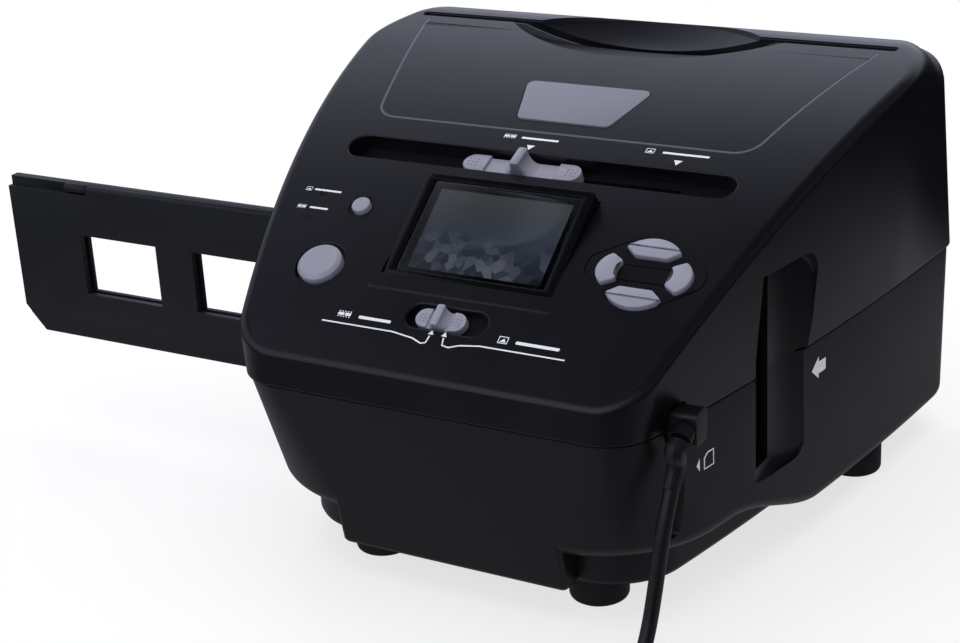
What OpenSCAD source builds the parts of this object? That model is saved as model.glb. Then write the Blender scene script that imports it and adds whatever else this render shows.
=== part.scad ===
// Film, slide and print scanner with a pull-through slide holder.
// Millimetres. X runs to the right, Y to the rear and Z up, with the floor at z = 0.
// Body places are measured from the middle of the body and from the film datum.

/* [Body] */
// Width of the body at its rear, the widest place
body_w = 212; // [204:1:220]
// Width of the body at its front, before the corners are rounded
front_w = 140; // [134:1:146]
// Distance of the front face from the film datum
front_reach = 86; // [84:0.5:90]
// Distance of the rear face from the film datum
rear_reach = 128; // [124:1:136]
// Radius of the outward bow of each side wall, seen from above
side_bow_r = 1180; // [1000:10:1400]
// Radius of the two front corners, seen from above
front_corner_r = 17; // [14:0.5:20]
// Radius of the two rear corners, seen from above
rear_corner_r = 11; // [9:0.5:14]
// Thickness of the housing walls
wall = 2.4; // [2:0.1:2.8]
// Height of the seam between the two housings
seam_z = 73; // [72:0.25:74]

/* [Top] */
// Height of the panel at the front face
panel_front_z = 83.5; // [83:0.25:86]
// Radius of the long bow of the panel and lid, seen from the side
top_bow_r = 359; // [340:1:390]
// Distance from the film datum to where the lid begins to round down
shoulder_reach = 86; // [85:0.5:90]
// Height of the lid where it begins to round down
shoulder_z = 154; // [153:0.5:157]
// Fillet between the side walls and the top
side_fillet_r = 3.5; // [3:0.5:6]
// Fillet between the front band and the panel
front_fillet_r = 3.5; // [2.5:0.5:5]

/* [Underside] */
// Height of the underside behind the front corners
belly_z = 12; // [11:0.5:13]
// Height of the underside at the front corners
front_belly_z = 26; // [24:0.5:28]
// Fillet round the bottom of the lower housing
belly_fillet_r = 6; // [5:0.5:8]
// Width of the block below the middle of the front
block_w = 84; // [78:1:86]
// Diameter of the rubber feet
foot_d = 20; // [18:0.5:21]
// Distance between the two front feet
front_foot_span = 83; // [80:1:84]
// Distance between the two rear feet
rear_foot_span = 172; // [166:1:174]
// Diameter of the housing screws
screw_d = 3; // [2.6:0.1:3.4]

/* [Film path] */
// Thickness of the closed slide holder
holder_t = 6; // [5.6:0.1:6.2]
// Height of the slide holder
holder_h = 63.6; // [63:0.1:64]
// Number of slides in the holder
slide_count = 4; // [3:1:5]
// Distance between neighbouring slide windows
slide_pitch = 52.8; // [51:0.1:54]
// Width of a slide window
window_w = 36; // [34:0.5:38]
// Height of a slide window
window_h = 24; // [22:0.5:25]
// Distance from the left end of the holder to the middle of the body
holder_reach = 223.6; // [200:0.4:232]
// Gap between the holder and its channel, on each side
holder_gap = 0.5; // [0.4:0.05:0.7]
// Distance from each end of the print slot to the widest part of the side
print_slot_end = 12; // [11:0.5:16]
// Width of the print slot in the lid, from front to rear
print_slot_t = 3.4; // [3:0.1:4]

/* [Controls] */
// Width of the display picture
display_w = 46; // [42:0.5:48]
// Height of the display picture
display_h = 30; // [27:0.5:31]
// Tilt of the display from level
display_tilt = 36; // [34:0.5:37]
// Diameter of the scan button
scan_d = 15.4; // [14:0.1:16]
// Diameter of the power button
power_d = 6.6; // [6:0.1:8]
// How far a button is pressed
button_travel = 0.8; // [0.6:0.1:1]
// How far the light slider moves between its film and print marks
light_travel = 52.5; // [48:0.5:53]
// How far the focus slider moves between its two marks
focus_travel = 5; // [4:0.25:6]
// How far the lens moves along its rods for each millimetre of focus slider
focus_ratio = 0.3; // [0.2:0.05:0.5]

/* [Cord] */
// Diameter of the cord
cord_d = 4.8; // [4.6:0.1:5]

/* [Hidden] */

// Tones of the finishes
shell_black = "#25262b";
lid_black = "#34353d";
gloss_black = "#141417";
silver = "#c4c4cf";
rubber_black = "#17181a";
board_green = "#1f5a36";
board_black = "#1b2a22";
steel = "#b8bcc2";
clear_tint = "#2c3440";
opal_white = "#f2f4f6";
frame_grey = "#4a4c51";

front_y = -front_reach;
rear_y = rear_reach;
far = 400;

holder_left_x = -holder_reach;

// ---- Plan of the body: a front line, two bowed sides and four round corners ----

front_half = front_w / 2;
rear_half = body_w / 2;
plan_chord = norm([rear_half - front_half, rear_y - front_y]);
plan_dir = [rear_half - front_half, rear_y - front_y] / plan_chord;
plan_depth = sqrt(side_bow_r * side_bow_r - plan_chord * plan_chord / 4);
bow_x = (front_half + rear_half) / 2 - plan_dir[1] * plan_depth;
bow_y = (front_y + rear_y) / 2 + plan_dir[0] * plan_depth;

corner_steps = 6;
side_steps = 22;
plan_last = 2 * corner_steps + side_steps;

// Shares of the side's length, closer together towards the rear
function side_share(i) = let (t = i / side_steps) 1 - pow(1 - t, 1.5);

// One point of the right half of an outline, from the front line to the rear line.
// in is how far the outline lies inside the body, rf and rr are its corner radii.
function plan_point(k, side_in, front_in, rear_in, rf, rr) =
    let (
        r = side_bow_r - side_in,
        yf = front_y + front_in + rf,
        xf = bow_x + sqrt(pow(r - rf, 2) - pow(yf - bow_y, 2)),
        af = atan2(yf - bow_y, xf - bow_x),
        yr = rear_y - rear_in - rr,
        xr = bow_x + sqrt(pow(r - rr, 2) - pow(yr - bow_y, 2)),
        ar = atan2(yr - bow_y, xr - bow_x)
    )
    k <= corner_steps
        ? let (a = -90 + (90 + af) * k / corner_steps) [xf + rf * cos(a), yf + rf * sin(a)]
        : k >= corner_steps + side_steps
            ? let (a = ar + (90 - ar) * (k - corner_steps - side_steps) / corner_steps)
                [xr + rr * cos(a), yr + rr * sin(a)]
            : let (
                y0 = yf + rf * sin(af),
                y1 = yr + rr * sin(ar),
                y = y0 + (y1 - y0) * side_share(k - corner_steps)
            )
            [bow_x + sqrt(r * r - pow(y - bow_y, 2)), y];

// How much of a station belongs to the front line and to the rear line
function front_part(k) = k >= corner_steps ? 0 : pow(cos(90 * k / corner_steps), 2);
function rear_part(k) =
    let (j = plan_last - k) j >= corner_steps ? 0 : pow(cos(90 * j / corner_steps), 2);

// Full ring from its right half: right side to the rear, then left side to the front
function mirrored(half) = concat(
    half,
    [for (i = [len(half) - 1:-1:0]) [-half[i][0], half[i][1], half[i][2]]]
);

// Closed solid through a stack of rings, with strips across its two ends
module ring_stack(rings) {
    n = len(rings[0]);
    m = len(rings);
    h = n / 2;
    sides = [for (j = [0:m - 2]) for (i = [0:n - 1])
        let (a = j * n + i, b = j * n + (i + 1) % n, c = b + n, d = a + n)
        each [[a, d, c], [a, c, b]]];
    floor_strips = [for (i = [0:h - 2])
        let (a = i, b = i + 1, c = n - 2 - i, d = n - 1 - i)
        each [[a, b, c], [a, c, d]]];
    top_strips = [for (i = [0:h - 2])
        let (o = (m - 1) * n, a = o + i, b = o + i + 1, c = o + n - 2 - i, d = o + n - 1 - i)
        each [[d, c, b], [d, b, a]]];
    polyhedron(points = [for (r = rings) each r], faces = concat(sides, floor_strips, top_strips));
}

// ---- Side view of the top: one long bow, then a round shoulder down the rear ----

top_chord = norm([shoulder_reach - front_y, shoulder_z - panel_front_z]);
top_dir = [shoulder_reach - front_y, shoulder_z - panel_front_z] / top_chord;
top_depth = sqrt(top_bow_r * top_bow_r - top_chord * top_chord / 4);
top_bow_y = (front_y + shoulder_reach) / 2 + top_dir[1] * top_depth;
top_bow_z = (panel_front_z + shoulder_z) / 2 - top_dir[0] * top_depth;
shoulder_slope = asin((top_bow_y - shoulder_reach) / top_bow_r);
shoulder_r = (rear_y - shoulder_reach) / (1 + sin(shoulder_slope));
shoulder_cy = shoulder_reach + shoulder_r * sin(shoulder_slope);
shoulder_cz = shoulder_z - shoulder_r * cos(shoulder_slope);

// Height of the top at y, measured depth millimetres below the outer surface
function top_z(y, depth = 0) =
    y < shoulder_reach
        ? top_bow_z + sqrt(pow(top_bow_r - depth, 2) - pow(y - top_bow_y, 2))
        : shoulder_cz + sqrt(max(0, pow(shoulder_r - depth, 2) - pow(y - shoulder_cy, 2)));
function top_slope(y) = asin((top_bow_y - y) / top_bow_r);

// Puts its children on the panel: local X right, local Y up the slope, local Z outwards
module on_panel(x, y) {
    translate([x, y, top_z(y)]) rotate([top_slope(y), 0, 0]) children();
}

// ---- Skins of the two housings ----

fillet_steps = 5;
// The side walls lean outwards going up, and come in again before the rear corners
side_draft = -0.09;
turned_side_draft = 0.04;
turned_side_fillet_r = 16;
front_draft = 0.15;
rear_draft = 0.05;
rear_fillet_r = 3;
rear_corner_rise = 0.12;

function smooth(t) = let (u = min(1, max(0, t))) u * u * (3 - 2 * u);
function outer_point(k) = plan_point(k, 0, 0, 0, front_corner_r, rear_corner_r);
function side_turn(k) = smooth((outer_point(k)[1] - rear_y + 61) / 61);
function blend(k, side, front, rear) =
    side * (1 - front_part(k) - rear_part(k)) + front * front_part(k) + rear * rear_part(k);
function upper_fillet(k) = blend(k,
    side_fillet_r + (turned_side_fillet_r - side_fillet_r) * side_turn(k), front_fillet_r, rear_fillet_r);
function upper_draft(k) = blend(k,
    side_draft + (turned_side_draft - side_draft) * side_turn(k), front_draft, rear_draft);

// Point of the upper skin. step 0 to fillet_steps runs up the fillet.
function upper_point(k, step, depth) =
    let (
        r0 = upper_fillet(k),
        r = max(0.5, r0 - depth),
        height = max(0, top_z(outer_point(k)[1]) - r0 - seam_z),
        drawn = upper_draft(k) * height,
        corner_r = rear_corner_r + rear_corner_rise * height,
        sweep = 90 - front_part(k) * top_slope(front_y),
        a = sweep * step / fillet_steps,
        in = depth + drawn + r * (1 - cos(a)),
        in_end = depth + drawn + r * (1 - cos(sweep)),
        p = plan_point(k, in, in, in, max(3, front_corner_r - in), max(2, corner_r - in)),
        q = plan_point(k, in_end, in_end, in_end,
            max(3, front_corner_r - in_end), max(2, corner_r - in_end))
    )
    [p[0], p[1], max(seam_z + 4, top_z(q[1], depth)) - r * (sin(sweep) - sin(a))];

function upper_ring(step, depth) =
    mirrored([for (k = [0:plan_last]) upper_point(k, step, depth)]);
function seam_ring(depth, z) =
    mirrored([for (k = [0:plan_last])
        let (p = plan_point(k, depth, depth, depth, front_corner_r - depth, rear_corner_r - depth))
        [p[0], p[1], z]]);

module upper_skin(depth = 0, foot_z = seam_z) {
    ring_stack(concat(
        [seam_ring(depth, foot_z)],
        [for (j = [0:fillet_steps]) upper_ring(j, depth)]
    ));
}

// Half-width of the body at its widest place, high on the side walls
function widest_x() =
    max([for (k = [corner_steps:plan_last]) for (j = [0:fillet_steps]) upper_point(k, j, 0)[0]]);

// Shift that brings the middle of the whole, with the holder at rest, to the origin
frame_x = (holder_reach - widest_x()) / 2;
frame_y = -(front_y + rear_y) / 2;
module in_frame() {
    translate([frame_x, frame_y, 0]) children();
}

lip = 0.8;
belly_taper = -0.01;
front_taper = 0.2;
corner_growth = 0.6;
rear_corner_growth = 0.07;
belly_front_y = front_y + 26;
belly_rear_y = front_y + 81;

// Height of the underside below the seam outline's point at y
function belly_at(y) =
    front_belly_z + (belly_z - front_belly_z) * smooth((y - belly_front_y) / (belly_rear_y - belly_front_y));

// Outline of the lower housing at height z, further inside by in
function lower_plan(k, z, in) =
    let (drop = seam_z - z)
    plan_point(k,
        lip + belly_taper * drop + in,
        lip + front_taper * drop + in,
        lip + belly_taper * drop + in,
        max(3, front_corner_r + corner_growth * drop - in),
        max(3, rear_corner_r + rear_corner_growth * drop - in));

function lower_point(k, step, depth) =
    let (
        r = belly_fillet_r - depth,
        a = 90 * (1 - step / fillet_steps),
        z = belly_at(outer_point(k)[1]) + depth + r * (1 - sin(a)),
        p = lower_plan(k, z, depth + r * (1 - cos(a)))
    )
    [p[0], p[1], z];

module lower_skin(depth = 0, head_z = seam_z) {
    ring_stack(concat(
        [for (j = [0:fillet_steps]) mirrored([for (k = [0:plan_last]) lower_point(k, j, depth)])],
        [mirrored([for (k = [0:plan_last])
            let (p = lower_plan(k, seam_z, depth)) [p[0], p[1], head_z]])]
    ));
}

// ---- Small helpers ----

module box(x0, x1, y0, y1, z0, z1) {
    translate([x0, y0, z0]) cube([x1 - x0, y1 - y0, z1 - z0]);
}
module rod_x(x0, x1, y, z, d) {
    translate([x0, y, z]) rotate([0, 90, 0]) cylinder(d = d, h = x1 - x0, $fn = 48);
}
module rod_y(y0, y1, x, z, d) {
    translate([x, y1, z]) rotate([90, 0, 0]) cylinder(d = d, h = y1 - y0, $fn = 48);
}
module rod_z(z0, z1, x, y, d) {
    translate([x, y, z0]) cylinder(d = d, h = z1 - z0, $fn = 48);
}
module both_sides() {
    children();
    mirror([1, 0, 0]) children();
}
// Flat outline with rounded corners, centred
module rounded_rect(w, h, r) {
    square([w - 2 * r, h], center = true);
    square([w, h - 2 * r], center = true);
    for (sx = [-1, 1]) for (sy = [-1, 1])
        translate([sx * (w / 2 - r), sy * (h / 2 - r)]) circle(r = r, $fn = 32);
}
// Slab of a rounded outline between two heights
module rounded_slab(w, h, r, z0, z1) {
    translate([0, 0, z0]) linear_extrude(z1 - z0) rounded_rect(w, h, r);
}
// Slot with round ends, along local X from x0 to x1
module slot_slab(x0, x1, w, z0, z1) {
    translate([x0, -w / 2, z0]) cube([x1 - x0, w, z1 - z0]);
    for (x = [x0, x1]) translate([x, 0, z0]) cylinder(d = w, h = z1 - z0, $fn = 40);
}
// Depth of the bowed panel below its tangent plane, v millimetres up the slope
function sag(v) = top_bow_r - sqrt(top_bow_r * top_bow_r - v * v);

// ---- Film path: the holder runs along X through a channel behind the lens ----

optic_z = seam_z;
film_front_y = -18.7;
film_back_y = film_front_y + holder_t;
cover_t = 2.4;
slide_size = 50.4;
slide_t = 2;
holder_z0 = optic_z - holder_h / 2;
holder_z1 = optic_z + holder_h / 2;
holder_margin = 33;
holder_corner_x = 6.5;
holder_corner_z = 7;
holder_right_x = holder_left_x + 2 * holder_margin + (slide_count - 1) * slide_pitch + window_w;
function window_x(i) = holder_left_x + holder_margin + window_w / 2 + i * slide_pitch;

recess_floor_x = 84.6;
channel_t = 2.4;
channel_y0 = film_front_y - holder_gap - channel_t;
channel_y1 = film_back_y + holder_gap + channel_t;
channel_z0 = holder_z0 - holder_gap - channel_t;
channel_z1 = holder_z1 + holder_gap + channel_t;
channel_end_gap = 1.7;
channel_half = recess_floor_x - wall - channel_end_gap;
gate_w = window_w + 4;
gate_h = window_h + 4;

// Flat-floored recess in each side wall, round the mouth of the channel
recess_front_y = film_front_y - 3.7;
recess_ramp_y = film_back_y + 4.7;
recess_back_y = film_back_y + 23;
recess_z0 = channel_z0 - 3.3;
recess_z1 = channel_z1 + 0.3;
mouth_y0 = film_front_y - 1.6;
mouth_y1 = film_back_y + 2.6;

module recess_prism(grow) {
    translate([0, 0, recess_z0 - grow]) linear_extrude(recess_z1 - recess_z0 + 2 * grow) polygon([
        [recess_floor_x - grow, recess_front_y - grow],
        [recess_floor_x - grow, recess_ramp_y],
        [recess_floor_x + 1.4 - grow, recess_ramp_y + 12],
        [recess_floor_x + 7.4 - grow, recess_back_y + grow],
        [far, recess_back_y + grow],
        [far, recess_front_y - grow]
    ]);
}

// ---- Moving light behind the film ----

light_gap = 0.6;
light_y0 = channel_y1 + light_gap;
light_depth = 8.6;
light_y1 = light_y0 + light_depth;
light_half = window_w / 2 + 7;
light_half_h = window_h / 2 + 9.5;
light_rod_d = 4;
light_rod_y = light_y0 + 4.6;
light_rod_z = light_half_h + 3;
light_lug = 3;
light_wall = 1.6;
diffuser_t = 2;
board_t = 1.6;
cheek_t = 2.5;
light_groove_y = -5.5;
light_groove_half = 66.5;
light_groove_w = 11;
light_groove_depth = 6;
light_knob_x = -4.8;
light_knob_half = 22.1;
light_knob_w = 8;
light_stem_t = 2.4;
light_stem_half = 3;
light_arm_z = optic_z + 39;

// ---- Print path: a slot in the lid leads down to a frame across the rear ----

print_y = 84.6;
print_z0 = 24;
print_z1 = 142;
guide_t = 2.4;
guide_edge = 6;
guide_foot = 4;
guide_y0 = print_y - print_slot_t / 2 - guide_t;
guide_y1 = print_y + print_slot_t / 2 + guide_t;
print_slot_w = body_w - 2 * print_slot_end;
guide_half = print_slot_w / 2 + 1.6;
backplate_t = 0.9;
backplate_gap = 0.6;
backplate_z1 = 152.6;
tunnel_y0 = light_y1 + 2.6;
tunnel_y1 = guide_y0 - 0.3;
tunnel_side_gap = 2.2;
tunnel_half = recess_floor_x - wall - tunnel_side_gap;
tunnel_z0 = 28;
tunnel_z1 = 118;
tunnel_t = 1.6;
tunnel_gate_w = 60;
tunnel_gate_h = 44;
lamp_x = 51;
lamp_w = 14;
lamp_half_h = 36;

// Finger scoops before and behind the print slot
notch_depth = 8;
notch_front_half = 53;
notch_front_reach = 24;
notch_rear_half = 45;
notch_rear_reach = 17;
// Radius of an arc through the ends and the middle of a scoop, seen from above
function arc_r(half, reach) = (half * half + reach * reach) / (2 * reach);

// ---- Lens, between the sensor and the film ----

bracket_y0 = -54;
bracket_t = 2;
bracket_half = 24;
bracket_z0 = optic_z - 21;
bracket_z1 = optic_z + 10;
lens_rod_d = 2.5;
lens_rod_x = 14;
lens_rod_z = optic_z - 7;
barrel_d = 12;
barrel_y0 = bracket_y0 + 4;
barrel_l = 9;
carriage_y0 = barrel_y0 + 1;
carriage_l = 6;
carriage_z1 = bracket_z1 - 1;
cam_z0 = bracket_z1 + 0.3;
cam_t = 2;
cam_pin_d = 3;
cam_pin_y = carriage_y0 + carriage_l / 2;
cam_gap = 0.1;
sensor_gap = 2;
sensor_y1 = bracket_y0 - sensor_gap;
sensor_z1 = bracket_z1 - 0.5;
sensor_z0 = sensor_z1 - 22;
focus_y = -66.5;
focus_groove_half = 10;
focus_groove_w = 9;
focus_groove_depth = 3.5;
focus_knob_x = -2.3;
focus_knob_half = 9;
focus_knob_w = 7.2;
focus_stem_half = 2.5;
focus_stem_t = 2.2;
focus_stem_y = focus_y + focus_groove_depth * sin(top_slope(focus_y));
focus_floor_z = top_z(focus_y) - focus_groove_depth * cos(top_slope(focus_y));

// ---- Boards and connectors ----

main_board_z = 32;
main_x0 = -48;
main_x1 = 32;
main_y0 = -64;
main_y1 = -28;
main_posts = [[main_x0 + 5, main_y0 + 5], [main_x0 + 5, main_y1 - 5],
    [main_x1 - 5, main_y0 + 5], [main_x1 - 5, main_y1 - 5]];
io_x0 = 34;
io_x1 = 60;
io_y = -60.4;
io_z0 = 30;
io_z1 = 81;
card_y0 = io_y - 3;
card_z0 = 34;
card_z1 = 60;
card_x0 = 38;
card_x1 = 65;
card_w = 24;
card_t = 2.1;
usb_z = seam_z + 1;
usb_socket_w = 7.8;
usb_socket_t = 4;
usb_x0 = 60.5;
usb_x1 = 69.5;
usb_y = io_y - usb_socket_t / 2;

// ---- Control groups, each with its own tangent frame on the panel ----

left_group = [-57, -44];
right_group = [57.3, -42.7];
scan_at = [2.6, -12.7];
power_at = [5.5, 13.5];
lights_at = [[-12.1, 17], [-11.9, 5.4]];
left_board = [[-13, -17], [12, 20]];
right_board_half = [17, 15];
flange = 1;
flange_t = 1;
cap_gap = 0.3;
under_panel = -wall - 0.1;
stem_end = under_panel - flange_t;
switch_gap = 0.2;
plunger_h = 0.8;
switch_h = 3;
switch_top = stem_end - button_travel - switch_gap - plunger_h;
switch_base = switch_top - switch_h;
key_h = 1.5;
scan_h = 1.6;
power_h = 1.6;

// Outlines of the four keys, around the middle of their group
upper_key = [[-9.5, 9.3], [-4.5, 14], [4.5, 14], [9.5, 9.3], [5.5, 6.3], [-5.5, 6.3]];
side_key = [[12.2, 6.2], [7.8, 3.6], [9.2, 0], [7.8, -3.6], [12.2, -6.2], [16, -2.6], [16, 2.6]];
key_centres = [[0, 10.2], [0, -10.2], [-12.2, 0], [12.2, 0]];

// ---- Display pod ----

pod_y = -37.5;
pod_z = 116.3;
pod_w = 62;
pod_h = 41;
pod_t = 9;
pod_gap = 0.1;
window_t = 1;
module on_pod() {
    translate([0, pod_y, pod_z]) rotate([display_tilt, 0, 0]) children();
}

// ---- Fasteners and feet ----

front_boss = [40, -70];
rear_boss = [88, 108];
boss_d = 8;
screw_head_d = 5.6;
screw_head_z = seam_z - 14;
front_foot_y = -49;
rear_foot_y = 71.4;
feet_at = [[-front_foot_span / 2, front_foot_y], [front_foot_span / 2, front_foot_y],
    [-rear_foot_span / 2, rear_foot_y], [rear_foot_span / 2, rear_foot_y]];
bosses_at = [[-front_boss[0], front_boss[1]], front_boss, [-rear_boss[0], rear_boss[1]], rear_boss];

// ---- Housings ----

block_floor_z = belly_z + 0.8;
block_back_y = -30;
block_top_z = 40;
plinth_side_in = lip + belly_taper * (seam_z - belly_z) + belly_fillet_r + 5.5;
plinth_front_in = lip + front_taper * (seam_z - front_belly_z) + belly_fillet_r + 5.3;

module plinth(depth) {
    ring_stack([for (z = [belly_z + depth, block_top_z]) mirrored([for (k = [0:plan_last])
        let (p = plan_point(k, plinth_side_in + depth, plinth_front_in + depth,
            plinth_side_in + depth, 26 - depth, 14 - depth))
        [p[0], p[1], z]])]);
}

// Block under the middle of the front, flush with the sloping front wall
module front_block(depth) {
    low = block_floor_z + depth;
    function front_at(z) = front_y + lip + depth + front_taper * (seam_z - z);
    rotate([90, 0, 90]) translate([0, 0, -block_w / 2 + depth]) linear_extrude(block_w - 2 * depth)
        polygon([[front_at(low), low], [block_back_y, low],
            [block_back_y, block_top_z], [front_at(block_top_z), block_top_z]]);
}

module lower_form(depth, head_z) {
    lower_skin(depth, head_z);
    plinth(depth);
    front_block(depth);
}

// Ribs, posts and bosses that stand inside the lower housing
module lower_ribs() {
    for (p = bosses_at) rod_z(0, seam_z, p[0], p[1], boss_d);
    for (p = feet_at) rod_z(0, belly_z + 8, p[0], p[1], 8);
    for (p = main_posts) rod_z(0, main_board_z, p[0], p[1], 6);
    both_sides() {
        box(57, 61, channel_y0, channel_y1, 0, channel_z0);
        box(48, 52, guide_y0, guide_y1, 0, print_z0);
        box(48, 50, tunnel_y0 + 6, tunnel_y1 - 6, 0, tunnel_z0);
        recess_prism(wall);
    }
    box(io_x0 + 2, io_x1 - 2, io_y - 0.8, io_y + board_t + 0.8, 0, io_z0);
}

module lower_housing() {
    in_frame() color(shell_black) difference() {
        union() {
            lower_form(0, seam_z);
            for (p = feet_at) rod_z(belly_z, belly_z + 12, p[0], p[1], foot_d - 1);
        }
        difference() {
            lower_form(wall, seam_z + 1);
            lower_ribs();
        }
        both_sides() recess_prism(0);
        box(-far, far, mouth_y0, mouth_y1, holder_z0 - 0.9, seam_z + 1);
        for (p = bosses_at) {
            rod_z(-1, screw_head_z, p[0], p[1], screw_head_d + 0.8);
            rod_z(screw_head_z - 1, seam_z + 1, p[0], p[1], screw_d + 0.4);
        }
        for (p = feet_at) rod_z(belly_z - 1, belly_z + 7, p[0], p[1], screw_d);
        for (p = main_posts) rod_z(main_board_z - 7, main_board_z + 1, p[0], p[1], 2);
        card_mouth();
        usb_mouth();
    }
}

// Slot for the memory card, with a shallow finger recess around it
module card_mouth() {
    box(card_x1 - 1, far, card_y0 + 0.2, io_y - 0.2, card_z0, card_z1);
    translate([card_x1 + 4.6, (card_y0 + io_y) / 2, (card_z0 + card_z1) / 2])
        rotate([0, 90, 0]) linear_extrude(far) rounded_rect(card_z1 - card_z0 + 3, 8, 2);
}

// Opening that takes the overmould of the plug
module usb_mouth() {
    translate([usb_x0, usb_y, usb_z]) rotate([0, 90, 0]) linear_extrude(far) rounded_rect(12, 8.4, 1.5);
}

// Posts that carry a board under the panel, at the corners of a group
module board_posts(points) {
    for (p = points) translate([p[0], p[1], switch_base])
        cylinder(d = post_d, h = -switch_base - 0.5, $fn = 32);
}
left_posts = [[-9.5, -13.5], [10, 4], [-4, 17]];
right_posts = [[-14, -12], [14, -12], [-14, 12], [14, 12]];

module upper_ribs() {
    for (p = bosses_at) rod_z(seam_z, far, p[0], p[1], boss_d);
    both_sides() recess_prism(wall);
    on_panel(0, light_groove_y)
        slot_slab(-light_groove_half, light_groove_half, light_groove_w + 3.2, -light_groove_depth - 1.6, 0);
    on_panel(0, focus_y)
        slot_slab(-focus_groove_half, focus_groove_half, focus_groove_w + 3.2, -focus_groove_depth - 1.4, 0);
    on_panel(left_group[0], left_group[1]) {
        board_posts(left_posts);
        translate([scan_at[0], scan_at[1], -4.4]) cylinder(d = scan_d + 6, h = 5, $fn = 64);
    }
    on_panel(right_group[0], right_group[1]) board_posts(right_posts);
    finger_notch(wall);
}

// One scoop: its floor slopes down to the slot, and its rim is a steep wall along an arc
module scoop(half, reach, rise, grow) {
    r = arc_r(half, reach);
    floor_h = rise * (reach + grow) / reach;
    wall_h = 30;
    translate([0, print_y + reach - r, top_z(print_y) - notch_depth - grow]) rotate_extrude($fn = 180)
        polygon([[0, 0], [r - reach, 0], [r + grow, floor_h],
            [r + grow + wall_h / 2, floor_h + wall_h], [0, floor_h + wall_h]]);
}
module finger_notch(grow) {
    front_rise = notch_depth - (top_z(print_y) - top_z(print_y - notch_front_reach));
    rear_rise = notch_depth - (top_z(print_y) - top_z(print_y + notch_rear_reach));
    intersection() {
        translate([0, 2 * print_y, 0]) mirror([0, 1, 0])
            scoop(notch_front_half, notch_front_reach, front_rise, grow);
        box(-far, far, 0, print_y + grow + 1, 0, far);
    }
    intersection() {
        scoop(notch_rear_half, notch_rear_reach, rear_rise, grow);
        box(-far, far, print_y - grow - 1, far, 0, far);
    }
}

// Slots that the lid and panel are cut through
module print_slot() {
    box(-print_slot_w / 2, print_slot_w / 2, print_y - print_slot_t / 2, print_y + print_slot_t / 2,
        print_z1 - 1, far);
}
module light_groove() {
    on_panel(0, light_groove_y)
        slot_slab(-light_groove_half, light_groove_half, light_groove_w, -light_groove_depth, 20);
    slit_y = light_groove_y + light_groove_depth * sin(top_slope(light_groove_y));
    box(light_knob_x - light_stem_half - 1, light_knob_x + light_stem_half + light_travel + 1,
        slit_y - light_stem_t / 2 - 0.8, slit_y + light_stem_t / 2 + 0.8, light_arm_z, top_z(light_groove_y));
}
module focus_groove() {
    on_panel(0, focus_y)
        slot_slab(-focus_groove_half, focus_groove_half, focus_groove_w, -focus_groove_depth, 20);
    box(focus_knob_x - focus_stem_half - 0.6, focus_knob_x + focus_stem_half + focus_travel + 0.6,
        focus_stem_y - 1.8, focus_stem_y + 1.8, focus_floor_z - 5, focus_floor_z + 3);
}

module upper_housing() {
    in_frame() color(lid_black) difference() {
        upper_skin();
        difference() {
            upper_skin(wall, seam_z - 1);
            upper_ribs();
        }
        both_sides() recess_prism(0);
        box(-far, far, mouth_y0, mouth_y1, seam_z - 1, holder_z1 + 1.1);
        finger_notch(0);
        print_slot();
        light_groove();
        focus_groove();
        usb_mouth();
        for (p = bosses_at) rod_z(seam_z - 1, seam_z + 12, p[0], p[1], screw_d - 0.4);
        on_pod() translate([0, 0, -pod_t - 3]) linear_extrude(30)
            square([pod_w + 2 * pod_gap, pod_h + 2 * pod_gap], center = true);
        on_panel(0, plate_y) translate([0, 0, -plate_t]) linear_extrude(10) plate_outline(0.1);
        on_panel(left_group[0], left_group[1]) {
            well(scan_at, -cut_reach, cut_reach, scan_d + 2 * cap_gap);
            well(scan_at, -scan_well_depth - sag(scan_at[1]), cut_reach, scan_d + scan_well);
            well(scan_at, -cut_reach, scan_under + 0.1, scan_d + 3);
            well(power_at, -cut_reach, cut_reach, power_d + 2 * cap_gap);
            well(power_at, -cut_reach, under_panel + 0.05, power_d + 2 * flange + 2 * cap_gap);
            for (p = lights_at) well(p, -cut_reach, cut_reach, light_pipe_d + 0.2);
            for (p = left_posts) well(p, switch_base - 1, switch_base + 4, post_hole_d);
        }
        on_panel(right_group[0], right_group[1]) {
            translate([0, 0, -cut_reach]) linear_extrude(2 * cut_reach) all_keys(cap_gap);
            translate([0, 0, -cut_reach]) linear_extrude(cut_reach + 0.05 + under_panel)
                all_keys(flange + cap_gap);
            for (p = right_posts) well(p, switch_base - 1, switch_base + 4, post_hole_d);
        }
    }
}
scan_under = under_panel - 1.9;
scan_well = 2.4;
scan_well_depth = 1.6;
cut_reach = 9;
light_pipe_d = 2.4;
post_d = 4.6;
post_hole_d = 1.6;
plate_y = 27.4;
plate_t = 0.8;
plate_half_high = 11.8;
plate_rear_half = 24.6;
plate_front_half = 17.6;
plate_r = 2.6;

// Round hole at a place of a control group, between two heights
module well(at, z0, z1, d) {
    translate([at[0], at[1], z0]) cylinder(d = d, h = z1 - z0, $fn = 64);
}

// Blank badge: a trapezium that narrows towards the front
module plate_outline(grow) {
    high = plate_half_high - plate_r;
    rear = plate_rear_half - plate_r;
    front = plate_front_half - plate_r;
    offset(r = plate_r + grow, $fn = 24)
        polygon([[-rear, high], [rear, high], [front, -high], [-front, -high]]);
}
module key_outline(points, grow) {
    offset(r = 1 + grow, $fn = 24) offset(delta = -1) polygon(points);
}
module all_keys(grow) {
    for (m = [0, 1]) mirror([0, m, 0]) key_outline(upper_key, grow);
    for (m = [0, 1]) mirror([m, 0, 0]) key_outline(side_key, grow);
}

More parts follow.
